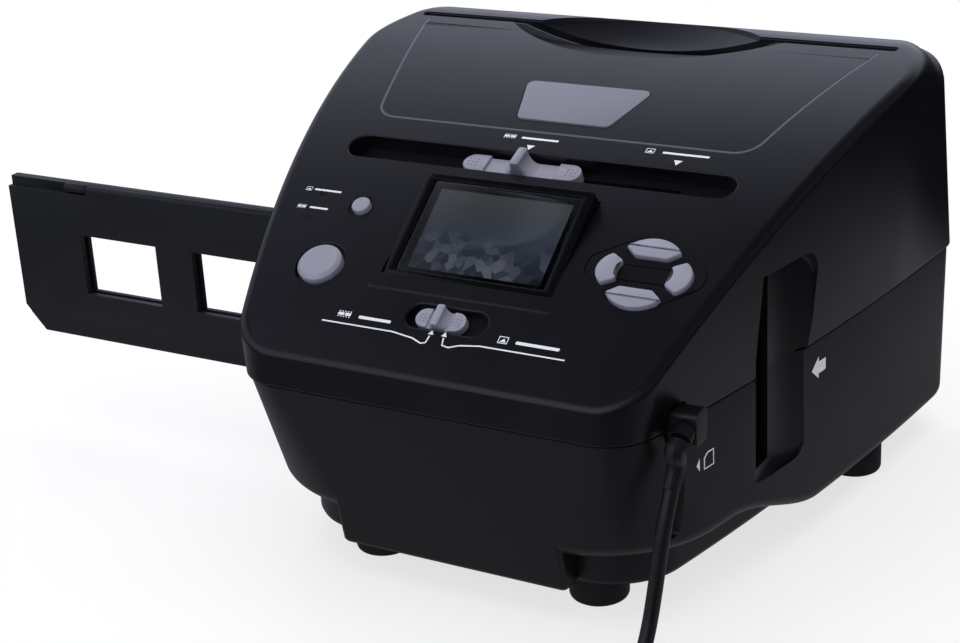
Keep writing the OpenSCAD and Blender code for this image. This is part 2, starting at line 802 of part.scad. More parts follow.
module feet() {
    in_frame() color(rubber_black) for (p = feet_at) difference() {
        union() {
            rod_z(1, belly_z, p[0], p[1], foot_d);
            translate([p[0], p[1], 0]) cylinder(d1 = foot_d - 2, d2 = foot_d, h = 1, $fn = 48);
        }
        rod_z(-1, belly_z - 4, p[0], p[1], 7);
        rod_z(-1, belly_z + 1, p[0], p[1], screw_d + 0.3);
    }
}

// Pan-head screw, head down
module screw_up(x, y, z, length, d, head_d) {
    rod_z(z, z + 2, x, y, head_d);
    rod_z(z + 2, z + 2 + length, x, y, d);
}

module foot_screws() {
    in_frame() color(steel) for (p = feet_at)
        screw_up(p[0], p[1], belly_z - 6, 9, screw_d - 0.1, 5.6);
}

module housing_screws() {
    in_frame() color(steel) for (p = bosses_at)
        screw_up(p[0], p[1], screw_head_z - 2, 22, screw_d - 0.5, screw_head_d);
}

// ---- Display ----

window_w_out = display_w + 8;
window_h_out = display_h + 6;

module screen_bezel() {
    in_frame() on_pod() color(gloss_black) difference() {
        rounded_slab(pod_w, pod_h, 1.5, -pod_t, 0);
        rounded_slab(window_w_out + 0.4, window_h_out + 0.4, 1.2, -window_t - 0.3, 1);
        translate([0, 0, -pod_t - 1]) linear_extrude(20)
            square([display_w + 3, display_h + 2], center = true);
        translate([0, 0, -pod_t - 1]) linear_extrude(pod_t - 2)
            square([window_w_out + 0.4, window_h_out + 0.4], center = true);
    }
}

module screen_window() {
    in_frame() on_pod() color(clear_tint) rounded_slab(window_w_out, window_h_out, 1, -window_t - 0.3, -0.3);
}

module display_module() {
    in_frame() on_pod() color("#6f7f96")
        translate([0, 0, -7]) linear_extrude(4) square([window_w_out, window_h_out], center = true);
}

// ---- Buttons ----

module scan_button() {
    in_frame() on_panel(left_group[0], left_group[1]) color(silver)
        translate([scan_at[0], scan_at[1], 0]) {
            translate([0, 0, scan_under - flange_t]) cylinder(d = scan_d + 2.2, h = flange_t, $fn = 64);
            translate([0, 0, scan_under - 0.1]) cylinder(d = scan_d, h = 0.1 - scan_under + 0.6, $fn = 64);
            translate([0, 0, 0.6]) cylinder(d1 = scan_d, d2 = scan_d - 2.4, h = scan_h - 0.6, $fn = 64);
        }
}

module power_button() {
    in_frame() on_panel(left_group[0], left_group[1]) color(silver)
        translate([power_at[0], power_at[1], -sag(power_at[1])]) {
            translate([0, 0, stem_end]) cylinder(d = power_d + 2 * flange, h = flange_t, $fn = 48);
            translate([0, 0, under_panel]) cylinder(d = power_d, h = power_h - 0.5 - under_panel, $fn = 48);
            translate([0, 0, power_h - 0.5]) cylinder(d1 = power_d, d2 = power_d - 1, h = 0.5, $fn = 48);
        }
}

// One key: its cap stands proud of the panel and a wider foot holds it in from below
module key_cap(points) {
    in_frame() on_panel(right_group[0], right_group[1]) color(silver) {
        translate([0, 0, stem_end]) linear_extrude(flange_t) key_outline(points, 0.9);
        translate([0, 0, under_panel]) linear_extrude(key_h - under_panel) key_outline(points, 0);
    }
}
module mode_button() {
    key_cap(upper_key);
}
module enter_button() {
    key_cap([for (p = upper_key) [p[0], -p[1]]]);
}
module right_button() {
    key_cap(side_key);
}
module left_button() {
    key_cap([for (p = side_key) [-p[0], p[1]]]);
}

module tact_switch(x, y, drop = 0) {
    translate([x - 3, y - 3, switch_base]) cube([6, 6, switch_h - drop]);
    translate([x, y, switch_base + switch_h - drop]) cylinder(d = 3, h = plunger_h, $fn = 32);
}

module scan_board() {
    in_frame() on_panel(left_group[0], left_group[1]) color(board_black) difference() {
        translate([left_board[0][0], left_board[0][1], switch_base - board_t])
            cube([left_board[1][0] - left_board[0][0], left_board[1][1] - left_board[0][1], board_t]);
        for (p = left_posts) translate([p[0], p[1], switch_base - board_t - 1])
            cylinder(d = 1.8, h = board_t + 2, $fn = 24);
    }
}

module scan_switches() {
    in_frame() on_panel(left_group[0], left_group[1]) color(frame_grey) {
        tact_switch(scan_at[0], scan_at[1], stem_end - scan_under + flange_t);
        tact_switch(power_at[0], power_at[1] - 0.5, sag(power_at[1]));
    }
}

module key_board() {
    in_frame() on_panel(right_group[0], right_group[1]) color(board_black) difference() {
        translate([-right_board_half[0], -right_board_half[1], switch_base - board_t])
            cube([2 * right_board_half[0], 2 * right_board_half[1], board_t]);
        for (p = right_posts) translate([p[0], p[1], switch_base - board_t - 1])
            cylinder(d = 1.8, h = board_t + 2, $fn = 24);
    }
}

module key_switches() {
    in_frame() on_panel(right_group[0], right_group[1]) color(frame_grey)
        for (c = key_centres) tact_switch(c[0] * 0.86, c[1] * 0.86);
}

module status_lights() {
    in_frame() on_panel(left_group[0], left_group[1]) color(opal_white) for (p = lights_at)
        translate([p[0], p[1], switch_base]) {
            cylinder(d = light_pipe_d, h = -switch_base - sag(p[1]), $fn = 32);
            cylinder(d = light_pipe_d + 1.6, h = 2, $fn = 32);
        }
}

module name_plate() {
    in_frame() on_panel(0, plate_y) color(silver)
        translate([0, 0, -plate_t + 0.02]) linear_extrude(plate_t + 0.3) plate_outline(0);
}

// ---- Light slider ----

// Knob of a slider: a low bar with a raised pad at each end and a blade with hollowed
// sides in the middle. floor_z is its underside and blade_top the height of the blade.
module slider_knob(half, w, floor_z, bar_t, pad_l, pad_rise, blade_t, blade_top, root_half, hollow_r) {
    bar_z = floor_z + bar_t;
    translate([-half, -w / 2, floor_z]) cube([2 * half, w, bar_t]);
    for (s = [-1, 1])
        translate([s * (half - pad_l / 2) - pad_l / 2, -w / 2, bar_z - 0.2]) cube([pad_l, w, pad_rise + 0.2]);
    translate([-blade_t / 2, -w / 2 - 0.4, floor_z]) cube([blade_t, w + 0.8, blade_top - floor_z]);
    difference() {
        translate([-root_half, -w / 2 + 0.2, bar_z - 0.2]) cube([2 * root_half, w - 0.4, hollow_r - 0.1]);
        for (s = [-1, 1]) translate([s * root_half, 0, bar_z + hollow_r - 0.2]) rotate([90, 0, 0])
            cylinder(r = hollow_r, h = 2 * w, center = true, $fn = 48);
    }
}

module light_slider_knob() {
    in_frame() color(silver) {
        on_panel(light_knob_x, light_groove_y)
            slider_knob(light_knob_half, light_knob_w, 0.5 - light_groove_depth,
                bar_t = 2.8, pad_l = 9, pad_rise = 1.1,
                blade_t = 3.4, blade_top = 4, root_half = 6.4, hollow_r = 4.9);
        stem_y = light_groove_y + light_groove_depth * sin(top_slope(light_groove_y));
        box(light_knob_x - light_stem_half, light_knob_x + light_stem_half,
            stem_y - light_stem_t / 2, stem_y + light_stem_t / 2,
            light_arm_z, top_z(light_groove_y) - light_groove_depth + 1.6);
    }
}

module light_carriage() {
    z0 = optic_z - light_half_h;
    z1 = optic_z + light_half_h;
    in_frame() color(shell_black) difference() {
        union() {
            box(-light_half, light_half, light_y0, light_y1, z0, z1);
            for (z = [optic_z - light_rod_z, optic_z + light_rod_z])
                box(-light_half, light_half, light_rod_y - light_lug, light_rod_y + light_lug,
                    z - light_lug, z + light_lug);
            box(light_knob_x - 8, light_knob_x + 8, light_rod_y - light_lug, light_y1,
                optic_z + light_rod_z, light_arm_z);
        }
        box(-light_half + light_wall, light_half - light_wall, light_y0 - 1, light_y1 - light_wall,
            z0 + light_wall, z1 - light_wall);
        for (z = [optic_z - light_rod_z, optic_z + light_rod_z])
            rod_x(-light_half - 1, light_half + 1, light_rod_y, z, light_rod_d + 0.1);
    }
}

module light_diffuser() {
    fit = light_wall;
    in_frame() color(opal_white) box(-light_half + fit, light_half - fit, light_y0 + 0.4,
        light_y0 + 0.4 + diffuser_t, optic_z - light_half_h + fit, optic_z + light_half_h - fit);
}

module light_board() {
    y1 = light_y1 - light_wall;
    in_frame() color(opal_white) {
        box(-light_half + light_wall + 1, light_half - light_wall - 1, y1 - board_t, y1,
            optic_z - light_half_h + light_wall + 1, optic_z + light_half_h - light_wall - 1);
        for (x = [-15:10:15]) for (z = [-10, 0, 10])
            box(x - 1.5, x + 1.5, y1 - board_t - 0.8, y1 - board_t, optic_z + z - 1.5, optic_z + z + 1.5);
    }
}

module light_rods() {
    in_frame() color(steel) for (z = [optic_z - light_rod_z, optic_z + light_rod_z])
        rod_x(-channel_half, channel_half, light_rod_y, z, light_rod_d);
}

// ---- Focus slider and lens ----

module focus_slider_knob() {
    in_frame() color(silver) {
        on_panel(focus_knob_x, focus_y)
            slider_knob(focus_knob_half, focus_knob_w, 0.4 - focus_groove_depth,
                bar_t = 1.9, pad_l = 5, pad_rise = 0.7,
                blade_t = 2.8, blade_top = 2.9, root_half = 3.7, hollow_r = 2.4);
        box(focus_knob_x - focus_stem_half, focus_knob_x + focus_stem_half,
            focus_stem_y - focus_stem_t / 2, focus_stem_y + focus_stem_t / 2,
            cam_z0 + cam_t, focus_floor_z + 1.2);
    }
}

// Sliding plate with a slanted slot: the knob moves it along X, and the slot moves the lens along Y
module focus_cam() {
    slot_angle = atan(focus_ratio);
    slot_d = cam_pin_d + 2 * cam_gap;
    in_frame() color(frame_grey) difference() {
        box(-13, 9, focus_y - 1, cam_pin_y + 5, cam_z0, cam_z0 + cam_t);
        translate([0, cam_pin_y, cam_z0 - 1]) rotate([0, 0, slot_angle])
            slot_slab(-focus_travel / cos(slot_angle) - 0.6, 0.6, slot_d, 0, cam_t + 2);
    }
}

module lens_carriage() {
    in_frame() color(shell_black) difference() {
        union() {
            box(-lens_rod_x - 4, lens_rod_x + 4, carriage_y0, carriage_y0 + carriage_l,
                lens_rod_z - 4, carriage_z1);
            rod_z(carriage_z1 - 1, cam_z0 + cam_t + 0.6, 0, cam_pin_y, cam_pin_d);
        }
        rod_y(carriage_y0 - 1, carriage_y0 + carriage_l + 1, 0, optic_z, barrel_d + 0.04);
        for (s = [-1, 1]) rod_y(carriage_y0 - 1, carriage_y0 + carriage_l + 1,
            s * lens_rod_x, lens_rod_z, lens_rod_d + 0.1);
    }
}

module lens_barrel() {
    in_frame() color(shell_black) difference() {
        rod_y(barrel_y0, barrel_y0 + barrel_l, 0, optic_z, barrel_d);
        rod_y(barrel_y0 - 1, barrel_y0 + barrel_l + 1, 0, optic_z, barrel_d - 4);
        rod_y(barrel_y0 + 2, barrel_y0 + barrel_l + 1, 0, optic_z, barrel_d - 2.8);
    }
}

module lens_glass() {
    glass_d = barrel_d - 2.84;
    in_frame() color("#7d93b0") {
        rod_y(barrel_y0 + 2, barrel_y0 + 3.6, 0, optic_z, glass_d);
        intersection() {
            rod_y(barrel_y0 + 3.6, barrel_y0 + 6, 0, optic_z, glass_d - 0.4);
            translate([0, barrel_y0 - 4, optic_z]) sphere(r = 9.2, $fn = 64);
        }
    }
}

module lens_rods() {
    in_frame() color(steel) for (s = [-1, 1])
        rod_y(bracket_y0, channel_y0, s * lens_rod_x, lens_rod_z, lens_rod_d);
}

// Plate that carries the sensor and the front ends of the rods, bolted to the film channel
module camera_bracket() {
    in_frame() color(frame_grey) difference() {
        union() {
            box(-bracket_half, bracket_half, bracket_y0, bracket_y0 + bracket_t, bracket_z0, bracket_z1);
            both_sides() {
                box(bracket_half - 2, bracket_half, bracket_y0, channel_y0, bracket_z0, bracket_z1);
                box(bracket_half - 2, bracket_half + 8, channel_y0 - 2, channel_y0, bracket_z0, bracket_z1);
            }
            for (sx = [-1, 1]) for (z = [sensor_z0 + 3, sensor_z1 - 3])
                rod_y(sensor_y1, bracket_y0 + 0.5, sx * 13, z, 4);
        }
        rod_y(bracket_y0 - 1, bracket_y0 + bracket_t + 1, 0, optic_z, barrel_d + 3);
        for (s = [-1, 1]) rod_y(bracket_y0 - 1, bracket_y0 + bracket_t + 1, s * lens_rod_x, lens_rod_z,
            lens_rod_d + 0.04);
        for (s = [-1, 1]) for (z = [bracket_z0 + 6, bracket_z1 - 6])
            rod_y(channel_y0 - 3, channel_y0 + 1, s * (bracket_half + 4.5), z, 2.7);
    }
}

module sensor_board() {
    in_frame() color(board_green)
        box(-16, 16, sensor_y1 - board_t, sensor_y1, sensor_z0, sensor_z1);
}

module image_sensor() {
    in_frame() color("#20242c") {
        box(-5.5, 5.5, sensor_y1, sensor_y1 + 1.2, optic_z - 5.5, optic_z + 5.5);
        box(-3.4, 3.4, sensor_y1 + 1.2, sensor_y1 + 1.4, optic_z - 2.6, optic_z + 2.6);
    }
}

// ---- Film channel ----

module film_channel() {
    in_frame() color(frame_grey) difference() {
        union() {
            box(-channel_half, channel_half, channel_y0, channel_y1, channel_z0, channel_z1);
            both_sides() box(channel_half - cheek_t, channel_half, channel_y1, light_rod_y + 3.6,
                optic_z - light_rod_z - 4, optic_z + light_rod_z + 4);
        }
        box(-far, far, channel_y0 + channel_t, channel_y1 - channel_t,
            channel_z0 + channel_t, channel_z1 - channel_t);
        box(-gate_w / 2, gate_w / 2, channel_y0 - 1, channel_y1 + 1,
            optic_z - gate_h / 2, optic_z + gate_h / 2);
        for (z = [optic_z - light_rod_z, optic_z + light_rod_z])
            rod_x(-channel_half - 1, channel_half + 1, light_rod_y, z, light_rod_d + 0.04);
        for (s = [-1, 1]) for (z = [bracket_z0 + 6, bracket_z1 - 6])
            rod_y(channel_y0 - 1, channel_y0 + channel_t + 1, s * (bracket_half + 4.5), z, 2.2);
    }
}

// ---- Print frame, tunnel and lamps ----

// Frame with a groove down each side and along the bottom, open to the front and at the top
module print_guides() {
    in_frame() color(frame_grey) difference() {
        box(-guide_half, guide_half, guide_y0, guide_y1, print_z0, print_z1);
        box(-print_slot_w / 2 - 0.4, print_slot_w / 2 + 0.4, print_y - print_slot_t / 2,
            print_y + print_slot_t / 2, print_z0 + guide_foot, print_z1 + 1);
        box(-print_slot_w / 2 + guide_edge, print_slot_w / 2 - guide_edge, guide_y0 - 1, guide_y1 + 1,
            print_z0 + guide_foot + 5, print_z1 + 1);
    }
}

// White plate behind the print, with a finger cut-out in its top edge
module print_backplate() {
    y1 = print_y + print_slot_t / 2 - backplate_gap;
    cut_r = arc_r(notch_front_half - 3, notch_depth + 1);
    in_frame() color(opal_white) difference() {
        box(-print_slot_w / 2 + backplate_gap, print_slot_w / 2 - backplate_gap, y1 - backplate_t, y1,
            print_z0 + guide_foot, backplate_z1);
        rod_y(y1 - backplate_t - 1, y1 + 1, 0, backplate_z1 + cut_r - notch_depth - 1, 2 * cut_r);
    }
}

module light_tunnel() {
    in_frame() color(shell_black) difference() {
        box(-tunnel_half, tunnel_half, tunnel_y0, tunnel_y1, tunnel_z0, tunnel_z1);
        box(-tunnel_half + tunnel_t, tunnel_half - tunnel_t, tunnel_y0 + tunnel_t, tunnel_y1 + 1,
            tunnel_z0 + tunnel_t, tunnel_z1 - tunnel_t);
        box(-tunnel_gate_w / 2, tunnel_gate_w / 2, tunnel_y0 - 1, tunnel_y0 + tunnel_t + 1,
            optic_z - tunnel_gate_h / 2, optic_z + tunnel_gate_h / 2);
    }
}

module print_lights() {
    y0 = tunnel_y0 + tunnel_t;
    in_frame() color(opal_white) both_sides() {
        box(lamp_x - lamp_w / 2, lamp_x + lamp_w / 2, y0, y0 + board_t,
            optic_z - lamp_half_h, optic_z + lamp_half_h);
        for (i = [-3:3]) let (z = optic_z + i * (lamp_half_h - 6) / 3)
            box(lamp_x - 1.5, lamp_x + 1.5, y0 + board_t, y0 + board_t + 1, z - 1.5, z + 1.5);
    }
}

// ---- Electronics ----

module main_board() {
    in_frame() color(board_green) difference() {
        box(main_x0, main_x1, main_y0, main_y1, main_board_z, main_board_z + board_t);
        for (p = main_posts) rod_z(main_board_z - 1, main_board_z + board_t + 1, p[0], p[1], 2.8);
    }
}

module main_chips() {
    top = main_board_z + board_t;
    in_frame() color("#1b1c1f") {
        box(main_x0 + 26, main_x0 + 42, main_y0 + 10, main_y0 + 26, top, top + 1.4);
        box(main_x1 - 30, main_x1 - 16, main_y0 + 8, main_y0 + 18, top, top + 1.2);
        box(main_x1 - 30, main_x1 - 20, main_y1 - 13, main_y1 - 7, top, top + 1.2);
        for (x = [12, 19]) rod_z(top, top + 6, main_x0 + x, main_y1 - 8, 5);
        box(main_x0 + 10, main_x0 + 20, main_y0 + 6, main_y0 + 16, top, top + 3);
    }
}

module io_board() {
    in_frame() color(board_green) box(io_x0, io_x1, io_y, io_y + board_t, io_z0, io_z1);
}

module usb_socket() {
    half_w = usb_socket_w / 2;
    half_t = usb_socket_t / 2;
    in_frame() color(steel) translate([0, usb_y, usb_z]) difference() {
        union() {
            box(usb_x0, usb_x1, -half_t, half_t, -half_w, half_w);
            box(io_x1 - 8, usb_x0, -half_t, half_t, -half_w, half_w);
        }
        box(usb_x0, usb_x1 + 1, -half_t + 0.4, half_t - 0.4, -half_w + 0.4, half_w - 0.4);
    }
}

module card_socket() {
    in_frame() color(steel) difference() {
        box(card_x0, card_x1, card_y0, io_y, card_z0 - 1, card_z1 + 1);
        box(card_x0 + 3, card_x1 + 1, card_y0 + 0.4, card_y0 + 0.4 + card_t,
            (card_z0 + card_z1 - card_w) / 2 - 0.3, (card_z0 + card_z1 + card_w) / 2 + 0.3);
    }
}

module board_screws() {
    in_frame() color(steel) {
        for (p = main_posts) translate([p[0], p[1], main_board_z + board_t]) {
            cylinder(d = 4.4, h = 1.6, $fn = 32);
            translate([0, 0, -6]) cylinder(d = 1.9, h = 6, $fn = 32);
        }
        for (s = [-1, 1]) for (z = [bracket_z0 + 6, bracket_z1 - 6]) {
            rod_y(channel_y0 - 3.6, channel_y0 - 2, s * (bracket_half + 4.5), z, 4.4);
            rod_y(channel_y0 - 2, channel_y0 + channel_t - 0.3, s * (bracket_half + 4.5), z, 2.1);
        }
        on_panel(left_group[0], left_group[1]) under_screws(left_posts);
        on_panel(right_group[0], right_group[1]) under_screws(right_posts);
    }
}
module under_screws(points) {
    for (p = points) translate([p[0], p[1], switch_base - board_t]) {
        translate([0, 0, -1.4]) cylinder(d = 3.8, h = 1.4, $fn = 32);
        cylinder(d = 1.5, h = board_t + 3.4, $fn = 32);
    }
}

// ---- Slide holder: a back frame with a pocket for each slide, and a hinged front cover ----

hinge_pin_d = 1.4;
knuckle_d = 3.4;
hinge_y = film_front_y + knuckle_d / 2;
hinge_z = holder_z1 - knuckle_d / 2 + 0.3;
hinge_x0 = holder_left_x + 28;
hinge_l = (slide_count - 1) * slide_pitch + 46;
base_knuckle = 10;
knuckle_gap = 0.3;
cover_knuckle = (hinge_l - 3 * base_knuckle) / 2 - 2 * knuckle_gap;
base_y = film_front_y + cover_t;
cover_z0 = holder_z0 + 4;
hinge_clear = 0.3;

function base_knuckle_x(i) = hinge_x0 + i * (base_knuckle + cover_knuckle + 2 * knuckle_gap);
function cover_knuckle_x(i) = base_knuckle_x(i) + base_knuckle + knuckle_gap;

// Plate of the holder up to the plane y1, with its lower left corner cut off
module holder_half(y1, t, z0, z1) {
    translate([0, y1, 0]) rotate([90, 0, 0]) linear_extrude(t) polygon([
        [holder_left_x + holder_corner_x, z0], [holder_right_x, z0],
        [holder_right_x, z1], [holder_left_x, z1], [holder_left_x, z0 + holder_corner_z]]);
}

module holder_windows() {
    for (i = [0:slide_count - 1])
        box(window_x(i) - window_w / 2, window_x(i) + window_w / 2, film_front_y - 5, film_back_y + 5,
            optic_z - window_h / 2, optic_z + window_h / 2);
}

module holder_base() {
    in_frame() color(shell_black) difference() {
        union() {
            holder_half(film_back_y, holder_t - cover_t, holder_z0, holder_z1);
            for (i = [0:2])
                rod_x(base_knuckle_x(i), base_knuckle_x(i) + base_knuckle, hinge_y, hinge_z, knuckle_d);
        }
        for (i = [0:slide_count - 1])
            box(window_x(i) - slide_size / 2, window_x(i) + slide_size / 2, base_y - 1, base_y + slide_t,
                optic_z - slide_size / 2, optic_z + slide_size / 2);
        holder_windows();
        for (i = [0:1])
            rod_x(cover_knuckle_x(i) - knuckle_gap, cover_knuckle_x(i) + cover_knuckle + knuckle_gap,
                hinge_y, hinge_z, knuckle_d + 2 * hinge_clear);
        rod_x(hinge_x0 - 1, hinge_x0 + hinge_l + 1, hinge_y, hinge_z, hinge_pin_d + 0.1);
    }
}

module holder_cover() {
    top = hinge_z - knuckle_d / 2 - hinge_clear;
    in_frame() color(gloss_black) difference() {
        union() {
            holder_half(base_y, cover_t, cover_z0, top);
            for (i = [0:1]) {
                rod_x(cover_knuckle_x(i), cover_knuckle_x(i) + cover_knuckle, hinge_y, hinge_z, knuckle_d);
                box(cover_knuckle_x(i), cover_knuckle_x(i) + cover_knuckle, film_front_y, film_front_y + 1.2,
                    top - 1, hinge_z);
            }
        }
        holder_windows();
        rod_x(hinge_x0 - 1, hinge_x0 + hinge_l + 1, hinge_y, hinge_z, hinge_pin_d + 0.1);
    }
}

module holder_hinge_pin() {
    in_frame() color(steel) rod_x(hinge_x0, hinge_x0 + hinge_l, hinge_y, hinge_z, hinge_pin_d);
}

// ---- Cord: from the plug in the side wall down to the floor and into a coil ----

plug_x0 = 76.5;
plug_x1 = 84.5;
boot_turn = 25;
cord_points = [
    [79, -73, 57], [78.5, -76, 50], [77.7, -78.5, 40], [76.8, -80, 30], [75.8, -81.5, 20],
    [75.2, -84, 12], [75, -88, 6.5], [75.4, -93, 3.6], [76.6, -99, 2.7], [78.4, -107, 2.8], [79.5, -116, 3.3]
];
far_cord_points = [[120, -156.5, 12.5], [131, -156, 9], [140, -151, 6], [145.5, -143, 4], [147, -134, 4]];
coil_at = [108, -128];
coil_r = 26;
coil_wide = 2;
coil_high = 3;
coil_z0 = 0.9;
tie_t = 0.6;
cord_sides = 8;

// Smooth point on the cord's route, u counted in points
function cord_at(points, u) =
    let (
        n = len(points),
        i = min(n - 2, floor(u)),
        t = u - i,
        p1 = points[i],
        p2 = points[i + 1],
        p0 = i > 0 ? points[i - 1] : 2 * p1 - p2,
        p3 = i < n - 2 ? points[i + 2] : 2 * p2 - p1
    )
    0.5 * (2 * p1 + (p2 - p0) * t + (2 * p0 - 5 * p1 + 4 * p2 - p3) * t * t
        + (3 * p1 - p0 - 3 * p2 + p3) * t * t * t);
function unit(v) = v / norm(v);

// Tube swept along a route, with r giving its radius at each ring
module cord_tube(points, r0, r1, rings) {
    n = len(points);
    span = n - 1;
    at = [for (j = [0:rings]) cord_at(points, span * j / rings)];
    way = [for (j = [0:rings])
        let (u = span * j / rings)
        unit(cord_at(points, min(span, u + 0.02)) - cord_at(points, max(0, u - 0.02)))];
    side = [for (w = way) unit(cross(w, [1, 0.2, 0.1]))];
    skin = [for (j = [0:rings]) for (s = [0:cord_sides - 1])
        let (a = 360 * s / cord_sides, r = r0 + (r1 - r0) * j / rings)
        at[j] + r * (cos(a) * side[j] + sin(a) * cross(way[j], side[j]))];
    walls = [for (j = [0:rings - 1]) for (s = [0:cord_sides - 1])
        let (a = j * cord_sides + s, b = j * cord_sides + (s + 1) % cord_sides)
        each [[a, b + cord_sides, b], [a, a + cord_sides, b + cord_sides]]];
    first = [for (s = [0:cord_sides - 1]) s];
    last = [for (s = [cord_sides - 1:-1:0]) rings * cord_sides + s];
    polyhedron(points = skin, faces = concat(walls, [first], [last]));
}

module usb_plug() {
    in_frame() color(rubber_black) translate([0, usb_y, usb_z]) difference() {
        union() {
            rotate([0, 90, 0]) translate([0, 0, plug_x0]) linear_extrude(plug_x1 - plug_x0)
                rounded_rect(11, 8, 2);
            rotate([0, 90, 0]) translate([0, 0, usb_x1 + 0.3]) linear_extrude(plug_x0 - usb_x1)
                rounded_rect(9.6, 6.6, 1.5);
            translate([(plug_x0 + plug_x1) / 2, -4, 0]) rotate([90 + boot_turn, 0, 0])
                cylinder(d = 7.4, h = 4, $fn = 40);
        }
        box(usb_x1 - 1, usb_x1 + 2.3, -1.5, 1.5, -3.4, 3.4);
    }
}

module usb_plug_shell() {
    half_w = usb_socket_w / 2 - 0.5;
    half_t = usb_socket_t / 2 - 0.5;
    in_frame() color(steel) translate([0, usb_y, usb_z])
        box(usb_x0 + 2.5, usb_x1 + 2.3, -half_t, half_t, -half_w, half_w);
}

module usb_boot() {
    start = [(plug_x0 + plug_x1) / 2, usb_y - 7.6, usb_z - 1.7];
    in_frame() color(rubber_black)
        cord_tube([start, start + [-0.4, -2.4, -3], 2 * cord_points[0] - cord_points[1], cord_points[0]],
            3.6, cord_d / 2 + 0.3, 12);
}

module usb_cord() {
    in_frame() color(rubber_black) {
        cord_tube(cord_points, cord_d / 2, cord_d / 2, 44);
        cord_tube(far_cord_points, cord_d / 2, cord_d / 2, 16);
    }
}

module usb_cord_coil() {
    in_frame() color(rubber_black) translate([coil_at[0], coil_at[1], coil_z0])
        rotate_extrude($fn = 96) translate([coil_r, coil_high * cord_d / 2])
            rounded_rect(coil_wide * cord_d, coil_high * cord_d, cord_d / 2);
}

module cord_tie() {
    gap = 0.2;
    w = coil_wide * cord_d + 2 * gap;
    h = coil_high * cord_d + 2 * gap;
    in_frame() color(gloss_black)
        translate([coil_at[0] + coil_r, coil_at[1], coil_z0 + coil_high * cord_d / 2])
            rotate([90, 0, 0]) linear_extrude(5, center = true) difference() {
                rounded_rect(w + 2 * tie_t, h + 2 * tie_t, cord_d / 2 + gap + tie_t);
                rounded_rect(w, h, cord_d / 2 + gap);
            }
}

// Frame of the computer plug: its boot begins where the cord ends
module at_far_plug() {
    n = len(far_cord_points);
    end = far_cord_points[n - 1];
    way = end - far_cord_points[n - 2];
    translate(end) rotate([0, 0, atan2(way[1], way[0])]) translate([6, 0, 0]) children();
}

module computer_plug() {
    in_frame() at_far_plug() color(rubber_black) difference() {
        union() {
            rotate([0, 90, 0]) linear_extrude(28) rounded_rect(7.9, 16, 2);
            translate([-6, 0, 0]) rotate([0, 90, 0]) cylinder(d1 = cord_d + 1, d2 = 7.4, h = 7, $fn = 40);
        }
        translate([24, -6, -2.25]) cube([6, 12, 4.5]);
    }
}

module computer_plug_shell() {
    in_frame() at_far_plug() color(steel) difference() {
        translate([24, -6, -2.25]) cube([16, 12, 4.5]);
        translate([29, -5.7, -1.95]) cube([12, 11.4, 2.1]);
    }
}

lower_housing();
upper_housing();
feet();
foot_screws();
housing_screws();
screen_bezel();
screen_window();
display_module();
scan_button();
power_button();
mode_button();
enter_button();
left_button();
right_button();
scan_board();
scan_switches();
key_board();
key_switches();
status_lights();
name_plate();
light_slider_knob();
light_carriage();
light_diffuser();
light_board();
light_rods();
focus_slider_knob();
focus_cam();
lens_carriage();
lens_barrel();
lens_glass();
lens_rods();
camera_bracket();
sensor_board();
image_sensor();
film_channel();
print_guides();
print_backplate();
light_tunnel();
print_lights();
main_board();
main_chips();
io_board();
usb_socket();
card_socket();
board_screws();
holder_base();
holder_cover();
holder_hinge_pin();
usb_plug();
usb_plug_shell();
usb_boot();
usb_cord();
usb_cord_coil();
cord_tie();
computer_plug();
computer_plug_shell();
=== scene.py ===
"""Film, slide and print scanner: the finished surfaces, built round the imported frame."""
import math

import bmesh
import bpy
from mathutils import Matrix, Vector


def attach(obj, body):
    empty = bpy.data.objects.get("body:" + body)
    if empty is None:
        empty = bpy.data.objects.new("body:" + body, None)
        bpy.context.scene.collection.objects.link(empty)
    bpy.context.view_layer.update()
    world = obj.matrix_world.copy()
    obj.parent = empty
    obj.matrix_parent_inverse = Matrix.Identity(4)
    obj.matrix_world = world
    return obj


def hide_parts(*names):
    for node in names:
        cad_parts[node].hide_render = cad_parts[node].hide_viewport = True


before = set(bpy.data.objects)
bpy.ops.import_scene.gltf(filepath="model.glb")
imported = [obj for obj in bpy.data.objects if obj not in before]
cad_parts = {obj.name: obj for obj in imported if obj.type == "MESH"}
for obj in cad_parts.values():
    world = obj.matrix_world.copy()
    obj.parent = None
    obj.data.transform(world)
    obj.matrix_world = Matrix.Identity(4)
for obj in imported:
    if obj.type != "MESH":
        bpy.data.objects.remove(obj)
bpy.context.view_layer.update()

MM = 0.001
# Places below are in millimetres from the middle of the body and the film datum
BODY_ORIGIN = Vector((58.73477, -21.0, 0.0))


def at(x, y, z):
    """Body millimetres to metres in the row frame."""
    return (Vector((x, y, z)) + BODY_ORIGIN) * MM


def deselect():
    if bpy.context.object and bpy.context.object.mode != "OBJECT":
        bpy.ops.object.mode_set(mode="OBJECT")
    bpy.ops.object.select_all(action="DESELECT")


def pick(ob):
    deselect()
    ob.select_set(True)
    bpy.context.view_layer.objects.active = ob


# ---- Camera ----

CAMERA_PLACE = (296.1, -546.6, 324.1)
CAMERA_AZIMUTH = math.radians(30.5975)
CAMERA_ELEVATION = math.radians(22.0156)
CAMERA_ROLL = math.radians(-3.3155)
FOCAL_PIXELS = 1943.89
PICTURE_WIDTH = 960
SENSOR = 36.0


